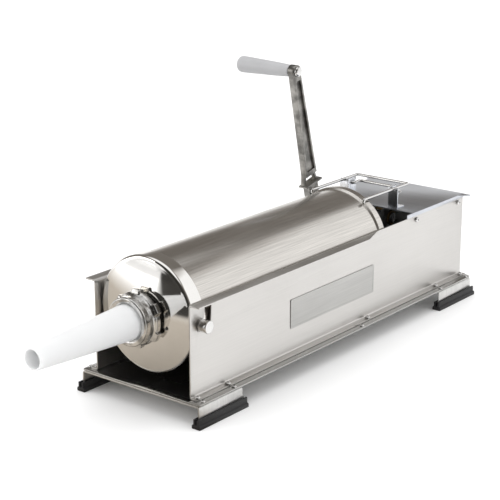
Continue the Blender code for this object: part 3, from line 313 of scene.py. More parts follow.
def softened(points, radius, steps=3, closed=True):
    """The outline with its corners rounded. A point may carry its own radius as a third value."""
    count = len(points)
    result = []
    for i, point in enumerate(points):
        corner = Vector(point[:2])
        if not closed and i in (0, count - 1):
            result.append(tuple(corner))
            continue
        before = Vector(points[i - 1][:2]) - corner
        after = Vector(points[(i + 1) % count][:2]) - corner
        wanted = point[2] if len(point) > 2 else radius
        reach = min(wanted, before.length * 0.48, after.length * 0.48)
        if reach < 0.00002:
            result.append(tuple(corner))
            continue
        start = corner + before.normalized() * reach
        end = corner + after.normalized() * reach
        for step in range(steps + 1):
            t = step / steps
            result.append(tuple(start * (1 - t) ** 2 + corner * 2 * t * (1 - t) + end * t**2))
    return result


AXES = {
    "Y": lambda r, a, h: (r * math.cos(a), h, r * math.sin(a)),
    "X": lambda r, a, h: (h, r * math.cos(a), r * math.sin(a)),
    "Z": lambda r, a, h: (r * math.cos(a), r * math.sin(a), h),
}


def lathe(name, profile, segments, axis="Y", centre=(0, 0, 0), closed=True, angle=34):
    """A turned piece from (radius, along) points. An open profile starts and ends on the axis."""
    bm = bmesh.new()
    centre = Vector(centre)
    rings = []
    for radius, along in profile:
        if radius < 1e-7:
            rings.append([bm.verts.new(centre + Vector(AXES[axis](0, 0, along)))])
            continue
        turns = (2 * math.pi * i / segments for i in range(segments))
        rings.append([bm.verts.new(centre + Vector(AXES[axis](radius, a, along))) for a in turns])
    pairs = list(zip(rings, rings[1:]))
    if closed:
        pairs.append((rings[-1], rings[0]))
    for first, second in pairs:
        for i in range(segments):
            j = (i + 1) % segments
            if len(first) == 1:
                bm.faces.new((first[0], second[i], second[j]))
            elif len(second) == 1:
                bm.faces.new((first[i], second[0], first[j]))
            else:
                bm.faces.new((first[i], second[i], second[j], first[j]))
    bmesh.ops.recalc_face_normals(bm, faces=bm.faces)
    return object_from(bm, name, angle)


PLANES = {
    "XY": lambda u, v, w: (u, v, w),
    "YZ": lambda u, v, w: (w, u, v),
    "XZ": lambda u, v, w: (u, w, v),
}


def slab(name, loop, low, high, plane="XY"):
    """An outline extruded square to its plane, from low to high."""
    bm = bmesh.new()
    rings = [[bm.verts.new(PLANES[plane](u, v, w)) for u, v in loop] for w in (low, high)]
    bm.faces.new(rings[0])
    bm.faces.new(rings[1])
    for i in range(len(loop)):
        j = (i + 1) % len(loop)
        bm.faces.new((rings[0][i], rings[0][j], rings[1][j], rings[1][i]))
    bmesh.ops.recalc_face_normals(bm, faces=bm.faces)
    return object_from(bm, name)


def rectangle(x0, y0, x1, y1):
    return [(x0, y0), (x1, y0), (x1, y1), (x0, y1)]


def offset_section(points, distance):
    """An open line moved sideways, with mitred corners."""
    result = []
    for i, point in enumerate(points):
        here = Vector(point)
        before = (here - Vector(points[i - 1])).normalized() if i else None
        after = (Vector(points[i + 1]) - here).normalized() if i < len(points) - 1 else None
        normals = [Vector((-d.y, d.x)) for d in (before, after) if d is not None]
        normal = sum(normals, Vector((0, 0))).normalized()
        result.append(tuple(here + normal * distance / max(0.3, normal.dot(normals[0]))))
    return result


def bent_sheet(name, section, radius, y0, y1, thickness):
    """A sheet folded along Y, given by its middle line in (x, z)."""
    line = softened(section, radius, 6, closed=False)
    left = offset_section(line, thickness / 2)
    right = offset_section(line, -thickness / 2)
    return slab(name, left + right[::-1], y0, y1, "XZ")


def round_route(points, radius, steps=6):
    route = [Vector(points[0])]
    for before, corner, after in zip(points, points[1:], points[2:]):
        before, corner, after = Vector(before), Vector(corner), Vector(after)
        start = corner + (before - corner).normalized() * radius
        end = corner + (after - corner).normalized() * radius
        for i in range(steps + 1):
            t = i / steps
            route.append(start * (1 - t) ** 2 + corner * 2 * t * (1 - t) + end * t**2)
    route.append(Vector(points[-1]))
    return route


def wire(name, route, radius, sides=16):
    """A round wire along a route, with domed ends."""
    bm = bmesh.new()
    rings = []
    normal = None
    last = len(route) - 1
    for i, point in enumerate(route):
        ahead = (route[min(i + 1, last)] - route[max(i - 1, 0)]).normalized()
        if normal is None:
            normal = ahead.orthogonal().normalized()
        normal = (normal - ahead * normal.dot(ahead)).normalized()
        side = ahead.cross(normal)
        stations = [(0.0, 1.0)]
        if i in (0, last):
            dome = [(math.sin(a), math.cos(a)) for a in (math.radians(25 * k) for k in (3, 2, 1, 0))]
            outward = -1 if i == 0 else 1
            stations = [(outward * s, c) for s, c in (dome if i == 0 else dome[::-1])]
        for shift, size in stations:
            centre = point + ahead * shift * radius
            turns = (2 * math.pi * k / sides for k in range(sides))
            spokes = [normal * math.cos(a) + side * math.sin(a) for a in turns]
            rings.append([bm.verts.new(centre + spoke * radius * size) for spoke in spokes])
    for first, second in zip(rings, rings[1:]):
        for k in range(sides):
            j = (k + 1) % sides
            bm.faces.new((first[k], first[j], second[j], second[k]))
    bm.faces.new(rings[0])
    bm.faces.new(rings[-1])
    bmesh.ops.recalc_face_normals(bm, faces=bm.faces)
    return object_from(bm, name, 50)


def put(obj, body, slot, look, *replaced):
    """Gives a finished piece its place in the row frame, its body and its material."""
    obj.data.materials.clear()
    obj.data.materials.append(look)
    obj.location = ORIGIN
    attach(obj, body)
    if replaced:
        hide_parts(*replaced)
    return obj


# ---------------------------------------------------------------- panels, base and cover

SCREW_SPOTS = {}
for label, side in SIDES:
    SCREW_SPOTS[label] = []
    for number in range(1, 6):
        low, high = span(f"flange_screw_{label}_{number}")
        SCREW_SPOTS[label].append((low + high) / 2)


def drill(obj, spots, radius, axis, reach=6 * MM):
    for i, spot in enumerate(spots):
        profile = [(0, reach), (radius, reach), (radius, -reach), (0, -reach)]
        drilled = lathe(f"drill_{i}", profile, 20, axis, spot, closed=False)
        cut(obj, drilled)
    return obj


TOP_FLANGE = 14 * MM
BOTTOM_FLANGE = 9.2 * MM
FLANGE_END = 337 * MM
TAPER_END = 380 * MM
PANEL_SHEET = 1.5 * MM
FLANGE_HOLE = 2.35 * MM
SHAFT_HOLE = 13 * MM


def build_panels():
    """Side panels folded from sheet, each with a trunnion slot and the holes for its screws and shafts."""
    sheet = PANEL_SHEET
    outer = PANEL_HIGH.x - TOP_FLANGE
    middle = outer - sheet / 2
    bottom = PANEL_LOW.z + sheet / 2
    top = PANEL_HIGH.z - sheet / 2
    length = PANEL_HIGH.y
    for label, side in SIDES:
        section = [
            (side * (outer + BOTTOM_FLANGE), bottom),
            (side * middle, bottom),
            (side * middle, top),
            (side * (outer + TOP_FLANGE), top),
        ]
        panel = bent_sheet(f"{label}_panel_sheet", section, 3.2 * MM, 0, length, sheet)
        clear = outer + 0.05 * MM
        taper = [
            (side * (outer + 15 * MM), FLANGE_END),
            (side * (outer + 15 * MM), length + 5 * MM),
            (side * clear, length + 5 * MM),
            (side * clear, TAPER_END),
        ]
        cut(panel, slab("taper", taper, top - 6 * MM, top + 6 * MM))
        pin_low, pin_high = span(f"trunnion_knob_{label}")
        pin_y = (pin_low.y + pin_high.y) / 2
        pin_z = (pin_low.z + pin_high.z) / 2
        half = 6 * MM
        seat = [
            (pin_y + half * math.cos(a), pin_z + half * math.sin(a))
            for a in (math.radians(90 + 180 * i / 16) for i in range(17))
        ]
        slot = [
            (pin_y + 6.5 * MM, top - 3.2 * MM),
            (pin_y + 5 * MM, pin_z + half + 2 * MM),
            (pin_y + 3.6 * MM, pin_z + half),
            *seat,
            (pin_y + 15 * MM, pin_z - half),
            (pin_y + 17 * MM, pin_z - half + 2 * MM),
            (pin_y + 18.5 * MM, top - 3.2 * MM),
        ]
        reach = sorted((side * (middle - 4 * MM), side * (middle + 4 * MM)))
        cut(panel, slab("slot", slot, *reach, plane="YZ"))
        spots = [Vector((spot.x, spot.y, bottom)) for spot in SCREW_SPOTS[label]]
        drill(panel, spots, FLANGE_HOLE, "Z")
        if side < 0:
            for node in ("input_shaft", "layshaft"):
                low, high = span(node)
                spot = Vector((side * middle, (low.y + high.y) / 2, (low.z + high.z) / 2))
                drill(panel, [spot], SHAFT_HOLE, "X")
        bevelled(panel, 0.28 * MM, 2)
        put(panel, "root", "satin_steel", PANEL_STEEL, f"{label}_side_panel")


def build_sheet_parts():
    """Flat and folded sheet pieces that keep their CAD shape, with edges that catch the light."""
    for node, width, look, slot in (
        ("base_plate", 0.5 * MM, BASE_STEEL, "satin_steel"),
        ("front_leg_bracket", 0.45 * MM, LEG_STEEL, "satin_steel"),
        ("rear_leg_bracket", 0.45 * MM, LEG_STEEL, "satin_steel"),
        ("rear_plate", 0.25 * MM, PANEL_STEEL, "satin_steel"),
        ("top_cover", 0.25 * MM, COVER_STEEL, "cover_steel"),
        ("left_bearing_plate", 0.4 * MM, FRAME_STEEL, "satin_steel"),
        ("right_bearing_plate", 0.4 * MM, FRAME_STEEL, "satin_steel"),
        ("front_spacer_bar", 0.5 * MM, FRAME_STEEL, "satin_steel"),
        ("rear_spacer_bar", 0.5 * MM, FRAME_STEEL, "satin_steel"),
        ("rack_guide", 0.5 * MM, BRONZE, "bronze"),
        ("bail_bracket_left", 0.25 * MM, BRACKET_STEEL, "satin_steel"),
        ("bail_bracket_right", 0.25 * MM, BRACKET_STEEL, "satin_steel"),
    ):
        put(refined(node, width), "root", slot, look, node)


def build_feet():
    """Rubber strips with their CAD shape and softened edges."""
    for label, _ in SIDES:
        for place in ("front", "rear"):
            node = f"{place}_foot_{label}"
            foot = refined(node, 0.7 * MM, 3)
            put(foot, "root", "black_rubber", RUBBER, node)


def build_nameplate():
    """A blank foil plate with a raised border."""
    low, high = span("nameplate")
    border = 2 * MM
    outer = softened(rectangle(low.y, low.z, high.y, high.z), 2 * MM)
    inner = softened(
        rectangle(low.y + border, low.z + border, high.y - border, high.z - border), 1.2 * MM
    )
    plate = slab("nameplate_foil", outer, low.x, high.x, "YZ")
    cut(plate, slab("recess", inner, high.x - 0.15 * MM, high.x + 1 * MM, "YZ"))
    put(plate, "root", "polished_steel", PLATE_STEEL, "nameplate")


# ---------------------------------------------------------------- screws


SCREW_HEAD = 3.6 * MM
SCREW_HEIGHT = 2.6 * MM
SCREW_SHANK = 1.9 * MM
SCREW_LENGTH = 7.5 * MM


def socket_screw(
    name, centre, axis, outward, head=SCREW_HEAD, height=SCREW_HEIGHT, shank=SCREW_SHANK, length=SCREW_LENGTH
):
    """A dome-headed screw with a hexagon socket. Its centre is under the head."""
    turns = (math.radians(9 * i) for i in range(9))
    dome = [(head * math.cos(a), height * (0.25 + 0.75 * math.sin(a))) for a in turns]
    profile = [(0, height * 0.99), (head * 0.16, height * 0.99)] + dome[::-1]
    profile += [(head, 0.02 * MM), (head - 0.1 * MM, 0), (shank, 0), (shank, -length + 0.4 * MM)]
    profile += [(shank - 0.4 * MM, -length), (0, -length)]
    profile = [(radius, along * outward) for radius, along in profile]
    screw = lathe(name, profile, 28, axis, centre, closed=False)
    deep = [(0, height * 1.5), (head * 0.42, height * 1.5), (head * 0.42, height * 0.35), (0, height * 0.3)]
    deep = [(radius, along * outward) for radius, along in deep]
    return cut(screw, lathe("socket", deep, 6, axis, centre, closed=False))


BASE_BOLT_X = 88.2 * MM
BASE_BOLT_YS = tuple(y * MM for y in (4.5, 61.5, 326, 520, 588))


def build_screws():
    for label, side in SIDES:
        for number in range(1, 6):
            node = f"flange_screw_{label}_{number}"
            low, high = span(node)
            centre = ((low.x + high.x) / 2, (low.y + high.y) / 2, high.z - SCREW_HEIGHT)
            screw = socket_screw(f"{node}_head", centre, "Z", 1)
            put(screw, "root", "polished_steel", BRIGHT_STEEL, node)
        for number in (1, 2):
            node = f"cover_screw_{label}_{number}"
            low, high = span(node)
            under_head = high.x - SCREW_HEIGHT if side > 0 else low.x + SCREW_HEIGHT
            centre = (under_head, (low.y + high.y) / 2, (low.z + high.z) / 2)
            screw = socket_screw(f"{node}_head", centre, "X", side)
            put(screw, "root", "polished_steel", BRIGHT_STEEL, node)
        for number, y in enumerate(BASE_BOLT_YS):
            centre = (side * BASE_BOLT_X, y, BASE_TOP + 0.1 * MM)
            name = f"base_bolt_{label}_{number}"
            bolt = socket_screw(name, centre, "Z", 1, 2.9 * MM, 2.1 * MM, 1.2 * MM, 1.5 * MM)
            put(bolt, "root", "polished_steel", BRIGHT_STEEL)


# ---------------------------------------------------------------- tube, cap and outlet


def build_tube():
    """A thin shell with a raised bead round its rear end."""
    front, rear = TUBE_LOW.y, TUBE_HIGH.y
    rim = (TUBE_HIGH.x - TUBE_LOW.x) / 2
    outer = rim - 2.6 * MM
    inner = outer - 1.1 * MM
    bead = 14 * MM
    profile = [
        (inner, rear - 0.6 * MM),
        (outer + 0.4 * MM, rear),
        (rim - 0.4 * MM, rear - 0.2 * MM),
        (rim, rear - 1.6 * MM),
        (rim, rear - bead + 2.5 * MM),
        (outer + 0.2 * MM, rear - bead),
        (outer, rear - bead - 1 * MM),
        (outer, front + 0.3 * MM),
        (inner, front),
    ]
    shell = lathe("tube_shell", softened(profile, 0.7 * MM, 3), 128, "Y", (0, 0, AXIS_Z))
    put(shell, "root", "satin_steel", TUBE_STEEL, "tube")


def build_cap():
    """A drawn cup: a domed mirror face, a tight shoulder and a plain skirt."""
    low, high = span("front_cap")
    outer = (high.x - low.x) / 2
    skirt_end = high.y
    inner = outer - 1.9 * MM
    dome_radius = 300 * MM
    hole = 24.3 * MM
    shoulder_reach = 4.4 * MM
    edge = outer - shoulder_reach
    thickness = 1.6 * MM

    def dome(radius):
        return 1.6 * MM + (radius**2 - hole**2) / (2 * dome_radius)

    radii = [hole + (edge - hole) * i / 24 for i in range(25)]
    front = [(radius, dome(radius)) for radius in radii]
    shoulder_start = dome(edge)
    shoulder = [
        (edge + shoulder_reach * math.sin(a), shoulder_start + shoulder_reach * (1 - math.cos(a)))
        for a in (math.radians(14 + 76 * i / 12) for i in range(13))
    ]
    hem = [
        (outer, skirt_end - 0.6 * MM),
        (outer - 0.6 * MM, skirt_end),
        (inner, skirt_end - 0.2 * MM),
    ]
    back = [(inner, shoulder_start + 6 * MM), (edge, shoulder_start + thickness + 1.2 * MM)]
    back += [(radius, dome(radius) + thickness) for radius in radii[-2::-4]]
    shell = lathe("cap_shell", front + shoulder + hem + back, 192, "Y", (0, 0, AXIS_Z), angle=42)
    put(shell, "root", "polished_steel", MIRROR_STEEL, "front_cap")


def build_outlet():
    """The outlet's neck with thread grooves, and the weld where it meets the cap."""
    low, high = span("outlet_spigot")
    outer = (high.x - low.x) / 2
    bore = outer - 4.5 * MM
    turns = []
    pitch = 3 * MM
    along = low.y + 2.5 * MM
    while along < -2 * MM:
        turns += [(outer - 0.05 * MM, along), (outer - 0.9 * MM, along + pitch / 2)]
        along += pitch
    profile = [(bore, low.y), (outer - 1.2 * MM, low.y), *turns, (outer, 0.5 * MM)]
    profile += [(outer, high.y), (bore, high.y)]
    neck = lathe("outlet_neck", softened(profile, 0.3 * MM, 2), 72, "Y", (0, 0, AXIS_Z))
    put(neck, "root", "cast_steel", BRIGHT_STEEL, "outlet_spigot")
    weld = [(outer + 0.2 * MM, 0.9 * MM), (outer + 3.4 * MM, 1.7 * MM), (outer + 0.9 * MM, 3.8 * MM)]
    bead = lathe("outlet_weld", softened(weld, 0.8 * MM, 3), 72, "Y", (0, 0, AXIS_Z))
    put(bead, "root", "polished_steel", BRIGHT_STEEL)


def lug_height(angle, count=6):
    """How far round a lug is up, from 0 between lugs to 1 on one."""
    step = 2 * math.pi / count
    off = abs((angle / step) % 1.0 - 0.5) * step
    flat, foot = math.radians(8.5), math.radians(14)
    t = min(1.0, max(0.0, (foot - off) / (foot - flat)))
    return t * t * (3 - 2 * t)


def build_ring_nut():
    """Turned nut with six rounded lugs round its rear edge and a raised front lip."""
    low, high = span("ring_nut")
    front, rear = low.y, high.y
    lug_reach = 3.5 * MM
    profile = [
        (24.4 * MM, rear),
        (31.4 * MM, rear, 1 * MM),
        (32.3 * MM, rear - 1 * MM, 0.8 * MM),
        (32.4 * MM, rear - 7 * MM, 1.5 * MM),
        (30.2 * MM, rear - 9.5 * MM, 1.5 * MM),
        (29.3 * MM, rear - 15 * MM),
        (29.5 * MM, front + 1.6 * MM, 1.2 * MM),
        (28.4 * MM, front, 1.2 * MM),
        (24.6 * MM, front, 0.8 * MM),
        (22.1 * MM, front + 1.0 * MM, 0.5 * MM),
        (22.0 * MM, front + 4.4 * MM),
        (24.4 * MM, front + 4.6 * MM),
    ]
    profile = softened(profile, 0.4 * MM, 4)
    nut = lathe("ring_nut_body", profile, 288, "Y", (0, 0, AXIS_Z))
    for vertex in nut.data.vertices:
        x, z = vertex.co.x, vertex.co.z - AXIS_Z
        radius = math.hypot(x, z)
        depth = (vertex.co.y - (rear - 9.5 * MM)) / (9.5 * MM)
        if depth <= 0 or radius < 30 * MM:
            continue
        rise = min(1.0, depth * 4)
        spread = min(1.0, (radius - 30 * MM) / (2 * MM))
        grown = radius + lug_reach * lug_height(math.atan2(z, x)) * rise * spread
        vertex.co.x = x * grown / radius
        vertex.co.z = AXIS_Z + z * grown / radius
    smooth(nut.data, 40)
    put(nut, "ring_nut", "polished_steel", NUT_CHROME, "ring_nut")


def build_nozzle():
    """A tapered nozzle with a flange that the nut holds."""
    low, high = span("filling_nozzle")
    tip, rear = low.y, high.y
    front_of_nut = span("ring_nut")[0].y
    profile = [
        (18.8 * MM, rear),
        (23.6 * MM, rear),
        (23.6 * MM, rear - 4.3 * MM, 0.8 * MM),
        (21.4 * MM, rear - 4.4 * MM),
        (21.4 * MM, front_of_nut - 3 * MM, 2 * MM),
        (13.3 * MM, tip + 0.9 * MM, 0.9 * MM),
        (11.2 * MM, tip, 0.6 * MM),
        (11.1 * MM, tip + 6 * MM),
        (18.8 * MM, front_of_nut - 2 * MM),
    ]
    nozzle = lathe("nozzle_moulding", softened(profile, 0.4 * MM, 4), 96, "Y", (0, 0, AXIS_Z))
    put(nozzle, "nozzle", "milky_plastic", MILKY_PLASTIC, "filling_nozzle")


def build_trunnions():
    """A pin through each panel, with a rounded knob outside."""
    for label, side in SIDES:
        node = f"trunnion_knob_{label}"
        low, high = span(node)
        far = max(abs(low.x), abs(high.x))
        near = min(abs(low.x), abs(high.x))
        centre = (0, (low.y + high.y) / 2, (low.z + high.z) / 2)
        radius = (high.y - low.y) / 2
        profile = [
            (0, far - 0.3 * MM),
            (radius * 0.4, far - 0.3 * MM),
            (radius * 0.62, far, 0.4 * MM),
            (radius, far, 1.2 * MM),
            (radius, far - 11.2 * MM, 0.6 * MM),
            (5 * MM, far - 11.3 * MM),
            (5 * MM, near),
            (0, near),
        ]
        profile = [(p[0], p[1] * side, *p[2:]) for p in profile]
        line = softened(profile, 0.2 * MM, 4, closed=False)
        knob = lathe(f"trunnion_{label}", line, 48, "X", centre, closed=False)
        put(knob, "root", "polished_steel", BRIGHT_STEEL, node)


# ---------------------------------------------------------------- piston, rack and gears


def build_piston():
    """The piston, its double-lipped seal and the screw in its face."""
    low, high = span("piston")
    outer = (high.x - low.x) / 2
    front, rear = low.y, high.y
    profile = [
        (5.6 * MM, rear),
        (22 * MM, rear),
        (24 * MM, rear - 2 * MM, 1.5 * MM),
        (outer - 8 * MM, rear - 2 * MM, 1.5 * MM),
        (outer - 6 * MM, rear, 1 * MM),
        (outer, rear, 0.8 * MM),
        (outer, rear - 3 * MM),
        (62.1 * MM, rear - 3 * MM),
        (62.1 * MM, front + 3 * MM),
        (outer, front + 3 * MM),
        (outer - 2.2 * MM, front, 1.2 * MM),
        (5.6 * MM, front + 0.2 * MM),
    ]
    body = lathe("piston_disc", softened(profile, 0.3 * MM, 3), 120, "Y", (0, 0, AXIS_Z))
    put(body, "carriage", "white_plastic", WHITE_PLASTIC, "piston")
    low, high = span("piston_seal")
    outer = (high.x - low.x) / 2
    middle = (low.y + high.y) / 2
    half = (high.y - low.y) / 2
    lips = [
        (62.4 * MM, middle + half),
        (outer - 0.8 * MM, middle + half),
        (outer, middle + half * 0.55, 0.3 * MM),
        (outer - 1.2 * MM, middle, 0.4 * MM),
        (outer, middle - half * 0.55, 0.3 * MM),
        (outer - 0.8 * MM, middle - half),
        (62.4 * MM, middle - half),
    ]
    seal = lathe("piston_lip_seal", softened(lips, 0.3 * MM, 3), 120, "Y", (0, 0, AXIS_Z))
    put(seal, "carriage", "black_rubber", RUBBER, "piston_seal")
    screw = refined("piston_screw", 0.5 * MM, 3)
    put(screw, "carriage", "polished_steel", BRIGHT_STEEL, "piston_screw")


def build_drive():
    """Gears, rack, shafts and bushes keep their CAD shape, with broken edges."""
    for node, body, width in (
        ("rack", "carriage", 0.3 * MM),
        ("large_gear", "layshaft", 0.25 * MM),
        ("rack_pinion", "layshaft", 0.25 * MM),
        ("layshaft", "layshaft", 0.4 * MM),
        ("input_pinion", "crank", 0.25 * MM),
        ("input_shaft", "crank", 0.4 * MM),
    ):
        put(refined(node, width), body, "gear_steel", GEAR_STEEL, node)
    for node in ("input_bush_left", "input_bush_right", "layshaft_bush_left", "layshaft_bush_right"):
        low, high = span(node)
        centre = (0, (low.y + high.y) / 2, (low.z + high.z) / 2)
        outer = (high.z - low.z) / 2
        inner = outer - 2.85 * MM
        profile = [(inner, high.x), (outer, high.x), (outer, low.x), (inner, low.x)]
        bush = lathe(f"{node}_ring", softened(profile, 0.5 * MM, 2), 64, "X", centre)
        put(bush, "root", "bronze", BRONZE, node)


# ---------------------------------------------------------------- crank and bail


def build_crank():
    """The cast arm, its hub screw, the tapered grip and the grip's bolt."""
    arm = refined("crank_arm", 1.1 * MM, 3, 40)
    put(arm, "crank", "cast_steel", CAST_STEEL, "crank_arm")
    low, high = span("crank_screw")
    centre = (0, (low.y + high.y) / 2, (low.z + high.z) / 2)
    outer_end = low.x
    radius = (high.z - low.z) / 2
    profile = [
        (0, outer_end),
        (5.2 * MM, outer_end, 1 * MM),
        (6.2 * MM, outer_end + 4.4 * MM, 0.3 * MM),
        (radius - 0.4 * MM, outer_end + 4.5 * MM, 0.4 * MM),
        (radius, high.x - 2.9 * MM, 0.3 * MM),
        (radius - 0.3 * MM, high.x - 2.6 * MM, 0.3 * MM),
        (4 * MM, high.x - 2.5 * MM),
        (4 * MM, high.x),
        (0, high.x),
    ]
    line = softened(profile, 0.2 * MM, 3, closed=False)
    screw = lathe("crank_screw_turned", line, 48, "X", centre, closed=False)
    put(screw, "crank", "polished_steel", BRIGHT_STEEL, "crank_screw")
    low, high = span("crank_grip")
    centre = (0, (low.y + high.y) / 2, (low.z + high.z) / 2)
    end_radius = (high.z - low.z) / 2
    start_radius = 8.3 * MM
    bore = 4.7 * MM
    profile = [
        (0, low.x),
        (end_radius * 0.7, low.x + 0.3 * MM, 3 * MM),
        (end_radius - 0.4 * MM, low.x + 3 * MM, 3 * MM),
        (end_radius, low.x + 7 * MM, 6 * MM),
        (start_radius + 1.2 * MM, high.x - 22 * MM, 16 * MM),
        (start_radius, high.x - 3 * MM, 3 * MM),
        (start_radius, high.x - 1 * MM, 0.8 * MM),
        (start_radius - 0.8 * MM, high.x, 0.4 * MM),
        (bore, high.x),
        (bore, low.x + 12 * MM),
        (0, low.x + 12 * MM),
    ]
    line = softened(profile, 0.3 * MM, 5, closed=False)
    grip = lathe("grip_moulding", line, 64, "X", centre, closed=False)
    put(grip, "grip", "grey_plastic", GRIP_PLASTIC, "crank_grip")
    low, high = span("grip_bolt")
    centre = (0, (low.y + high.y) / 2, (low.z + high.z) / 2)
    radius = (high.z - low.z) / 2
    face = high.x - 5 * MM
    profile = [
        (0, low.x),
        (4 * MM, low.x, 0.5 * MM),
        (4 * MM, face),
        (radius, face, 0.4 * MM),
        (radius, face + 2.6 * MM, 1 * MM),
        (radius * 0.66, high.x - 0.2 * MM, 1.5 * MM),
        (0, high.x),
    ]
    line = softened(profile, 0.3 * MM, 4, closed=False)
    bolt = lathe("grip_bolt_turned", line, 40, "X", centre, closed=False)
    put(bolt, "crank", "polished_steel", BRIGHT_STEEL, "grip_bolt")


WIRE_RADIUS = 2 * MM


def build_bail():
    """The hooked wire with its handle, the axle wire it turns on, and a clip on each side."""
    low, high = span("bail_wire")
    radius = WIRE_RADIUS
    half = high.x - radius
    hook, handle = low.y + radius, high.y - radius
    level = high.z - radius
    tip = low.z
    right = [(half, hook, tip + 0.6 * MM), (half, hook, level), (half, handle, level)]
    left = [(-x, y, z) for x, y, z in reversed(right)]
    bail = wire("bail_wire_bent", round_route(right + left, 2.4 * MM), radius)
    put(bail, "bail", "polished_steel", BRIGHT_STEEL, "bail_wire")
    low, high = span("bail_axle")
    end = high.x
    axle_z = low.z + radius
    turn = 29.5 * MM
    inner_y = high.y - radius
    axle_y = low.y + radius
    right = [(end - radius, axle_y, axle_z), (turn, axle_y, axle_z), (turn, inner_y, high.z - radius)]
    left = [(-x, y, z) for x, y, z in reversed(right)]
    axle = wire("bail_axle_bent", round_route(right + left, 4 * MM), radius)
    put(axle, "bail", "polished_steel", BRIGHT_STEEL, "bail_axle")
    for label, side in SIDES:
        inner, outer = radius + 0.1 * MM, radius + 1.2 * MM
        ends = sorted((side * (half - 2.6 * MM), side * (half + 2.6 * MM)))
        profile = [(inner, ends[1]), (outer, ends[1]), (outer, ends[0]), (inner, ends[0])]
        collar = lathe(f"bail_clip_{label}", softened(profile, 0.3 * MM, 2), 32, "X", (0, axle_y, axle_z))
        put(collar, "bail", "polished_steel", BRIGHT_STEEL)


# ---------------------------------------------------------------- stage, light and camera


def ranged_between(tree, value, start, end):
    """0 at the start value and 1 at the end value."""
    node = tree.nodes.new("ShaderNodeMapRange")
    node.inputs["From Min"].default_value = start
    node.inputs["From Max"].default_value = end
    tree.links.new(value, node.inputs["Value"])
    return node.outputs["Result"]


def arithmetic(tree, operation, a, b):
    """A Math node on two values, each a socket or a number."""
    node = tree.nodes.new("ShaderNodeMath")
    node.operation = operation
    for socket, value in zip(node.inputs, (a, b)):
        if isinstance(value, (int, float)):
            socket.default_value = value
        else:
            tree.links.new(value, socket)
    return node.outputs["Value"]


def flat_colour(tree, colour):
    node = tree.nodes.new("ShaderNodeRGB")
    node.outputs["Color"].default_value = (*colour, 1)
    return node.outputs["Color"]


def build_stage():
    """A pale floor. Only glossy rays see painted light on it: a painted shadow in beige just in front of the
    cap, and a painted dark reflection further ahead to the right.
    """
    bm = bmesh.new()
    bmesh.ops.create_grid(bm, x_segments=1, y_segments=1, size=14)
    floor = object_from(bm, "studio_floor")
    look, tree, shader = shader_material("pale_floor")
    shader.inputs["Roughness"].default_value = 0.7
    shader.inputs["Specular IOR Level"].default_value = 0.1
    coordinates = tree.nodes.new("ShaderNodeTexCoord")
    parts = tree.nodes.new("ShaderNodeSeparateXYZ")
    tree.links.new(coordinates.outputs["Object"], parts.inputs["Vector"])
    across = arithmetic(tree, "SUBTRACT", parts.outputs["X"], ORIGIN.x)
    ahead = arithmetic(tree, "SUBTRACT", ORIGIN.y, parts.outputs["Y"])
    # Painted shadow and painted dark reflection: the beige zone in front of the cap stands in for shade, and
    # the dark zone ahead to the right stands in for a dark room. Only glossy rays see them.
    pale = flat_colour(tree, (0.92, 0.92, 0.92))
    painted_shadow_beige = flat_colour(tree, (0.40, 0.36, 0.31))
    dark = flat_colour(tree, (0.03, 0.028, 0.025))
    in_front = ranged_between(tree, ahead, -0.05, 0.0)
    close = ranged_between(tree, ahead, 0.75, 0.3)
    near = arithmetic(tree, "MULTIPLY", in_front, close)
    far = ranged_between(tree, ahead, 0.36, 0.42)
    turned = arithmetic(tree, "ADD", arithmetic(tree, "MULTIPLY", ahead, 0.58), across)
    to_right = ranged_between(tree, turned, -0.03, 0.06)
    painted_dark_reflection_mask = arithmetic(tree, "MULTIPLY", far, to_right)
    seen = blend(tree, near, pale, painted_shadow_beige)
    seen = blend(tree, painted_dark_reflection_mask, seen, dark)
    path = tree.nodes.new("ShaderNodeLightPath")
    colour = blend(tree, path.outputs["Is Glossy Ray"], pale, seen)
    tree.links.new(colour, shader.inputs["Base Color"])
    floor.data.materials.append(look)


def area_light(name, location, target, size, power, colour=(1, 1, 1)):
    lamp = bpy.data.lights.new(name, "AREA")
    lamp.shape = "RECTANGLE"
    lamp.size, lamp.size_y = size
    lamp.energy = power
    lamp.color = colour
    obj = bpy.data.objects.new(name, lamp)
    bpy.context.scene.collection.objects.link(obj)
    obj.location = location
    direction = Vector(target) - Vector(location)
    obj.rotation_euler = direction.to_track_quat("-Z", "Y").to_euler()
    return obj


def ramped(tree, value, stops):
    """A smooth colour ramp over the stops, driven by a value."""
    ramp = tree.nodes.new("ShaderNodeValToRGB")
    ramp.color_ramp.interpolation = "EASE"
    elements = ramp.color_ramp.elements
    elements[0].position, elements[0].color = stops[0][0], (*stops[0][1], 1)
    elements[1].position, elements[1].color = stops[-1][0], (*stops[-1][1], 1)
    for position, colour in stops[1:-1]:
        added = elements.new(position)
        added.color = (*colour, 1)
    tree.links.new(value, ramp.inputs["Fac"])
    return ramp.outputs["Color"]


WHITE = (1.0, 1.0, 1.0)
TAUPE = (0.17, 0.155, 0.14)
NEAR_BLACK = (0.035, 0.033, 0.03)
# Stops by the height of the direction, from level at 0 to straight up at 1.
BACK_SKY = (
    (0.0, WHITE),
    (0.12, (1.0, 0.99, 0.98)),
    (0.26, (0.28, 0.265, 0.25)),
    (0.36, TAUPE),
    (0.72, TAUPE),
    (0.9, WHITE),
)
BACK_RIGHT_SKY = (
    (0.0, WHITE),
    (0.66, WHITE),
    (0.72, (0.6, 0.58, 0.56)),
    (0.78, TAUPE),
    (0.86, TAUPE),
    (0.94, WHITE),
)


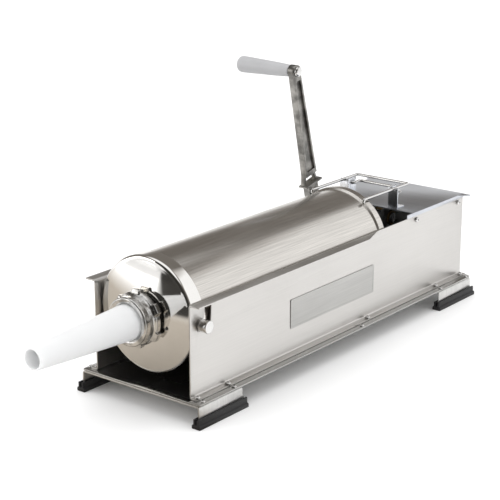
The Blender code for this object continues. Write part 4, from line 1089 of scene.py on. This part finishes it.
def build_light():
    """An even white fill, with dark and bright zones that only the steel reflects."""
    world = bpy.data.worlds.new("studio")
    bpy.context.scene.world = world
    world.use_nodes = True
    tree = world.node_tree
    background = tree.nodes["Background"]
    coordinates = tree.nodes.new("ShaderNodeTexCoord")
    parts = tree.nodes.new("ShaderNodeSeparateXYZ")
    tree.links.new(coordinates.outputs["Generated"], parts.inputs["Vector"])
    x, y, z = (parts.outputs[axis] for axis in "XYZ")
    # Toward +X and the back, a bright panel stands higher.
    to_right = ranged_between(tree, x, -0.02, 0.12)
    behind = ranged_between(tree, y, 0.0, 0.2)
    back_right = arithmetic(tree, "MULTIPLY", to_right, behind)
    zones = blend(tree, back_right, ramped(tree, z, BACK_SKY), ramped(tree, z, BACK_RIGHT_SKY))
    # In front, a dark zone lies between the front-left panel and the right.
    leaving = ranged_between(tree, x, -0.55, -0.42)
    ahead = ranged_between(tree, y, -0.35, -0.6)
    front = arithmetic(tree, "MULTIPLY", leaving, ahead)
    zones = blend(tree, front, zones, flat_colour(tree, NEAR_BLACK))
    path = tree.nodes.new("ShaderNodeLightPath")
    colour = blend(tree, path.outputs["Is Glossy Ray"], flat_colour(tree, WHITE), zones)
    tree.links.new(colour, background.inputs["Color"])
    background.inputs["Strength"].default_value = 1.12
    overhead = area_light("overhead", (0.1, 0.3, 3.2), (0.1, 0.0, 0), (3.4, 3.4), 42)
    overhead.visible_glossy = False
    front_left_colour = (1.0, 0.99, 0.97)
    area_light("front_left", (-2.0, -2.0, 1.0), (0, -0.1, 0.15), (1.6, 1.6), 16, front_left_colour)
    bpy.context.scene.view_settings.view_transform = "Standard"


def build_camera():
    azimuth, elevation = math.radians(38.35), math.radians(17.22)
    distance = 1.77893
    target = ORIGIN + Vector((55.68, 132.28, 172.2)) * MM
    level = math.cos(elevation)
    back = Vector((math.sin(azimuth) * level, -math.cos(azimuth) * level, math.sin(elevation)))
    camera = bpy.data.cameras.new("camera")
    camera.lens = 107.79
    camera.sensor_width = 36
    camera.clip_end = 60
    obj = bpy.data.objects.new("camera", camera)
    bpy.context.scene.collection.objects.link(obj)
    obj.location = target + back * distance
    obj.rotation_euler = (-back).to_track_quat("-Z", "Y").to_euler()
    bpy.context.scene.camera = obj


build_panels()
build_sheet_parts()
build_feet()
build_nameplate()
build_screws()
build_tube()
build_cap()
build_outlet()
build_ring_nut()
build_nozzle()
build_trunnions()
build_piston()
build_drive()
build_crank()
build_bail()
build_stage()
build_light()
build_camera()
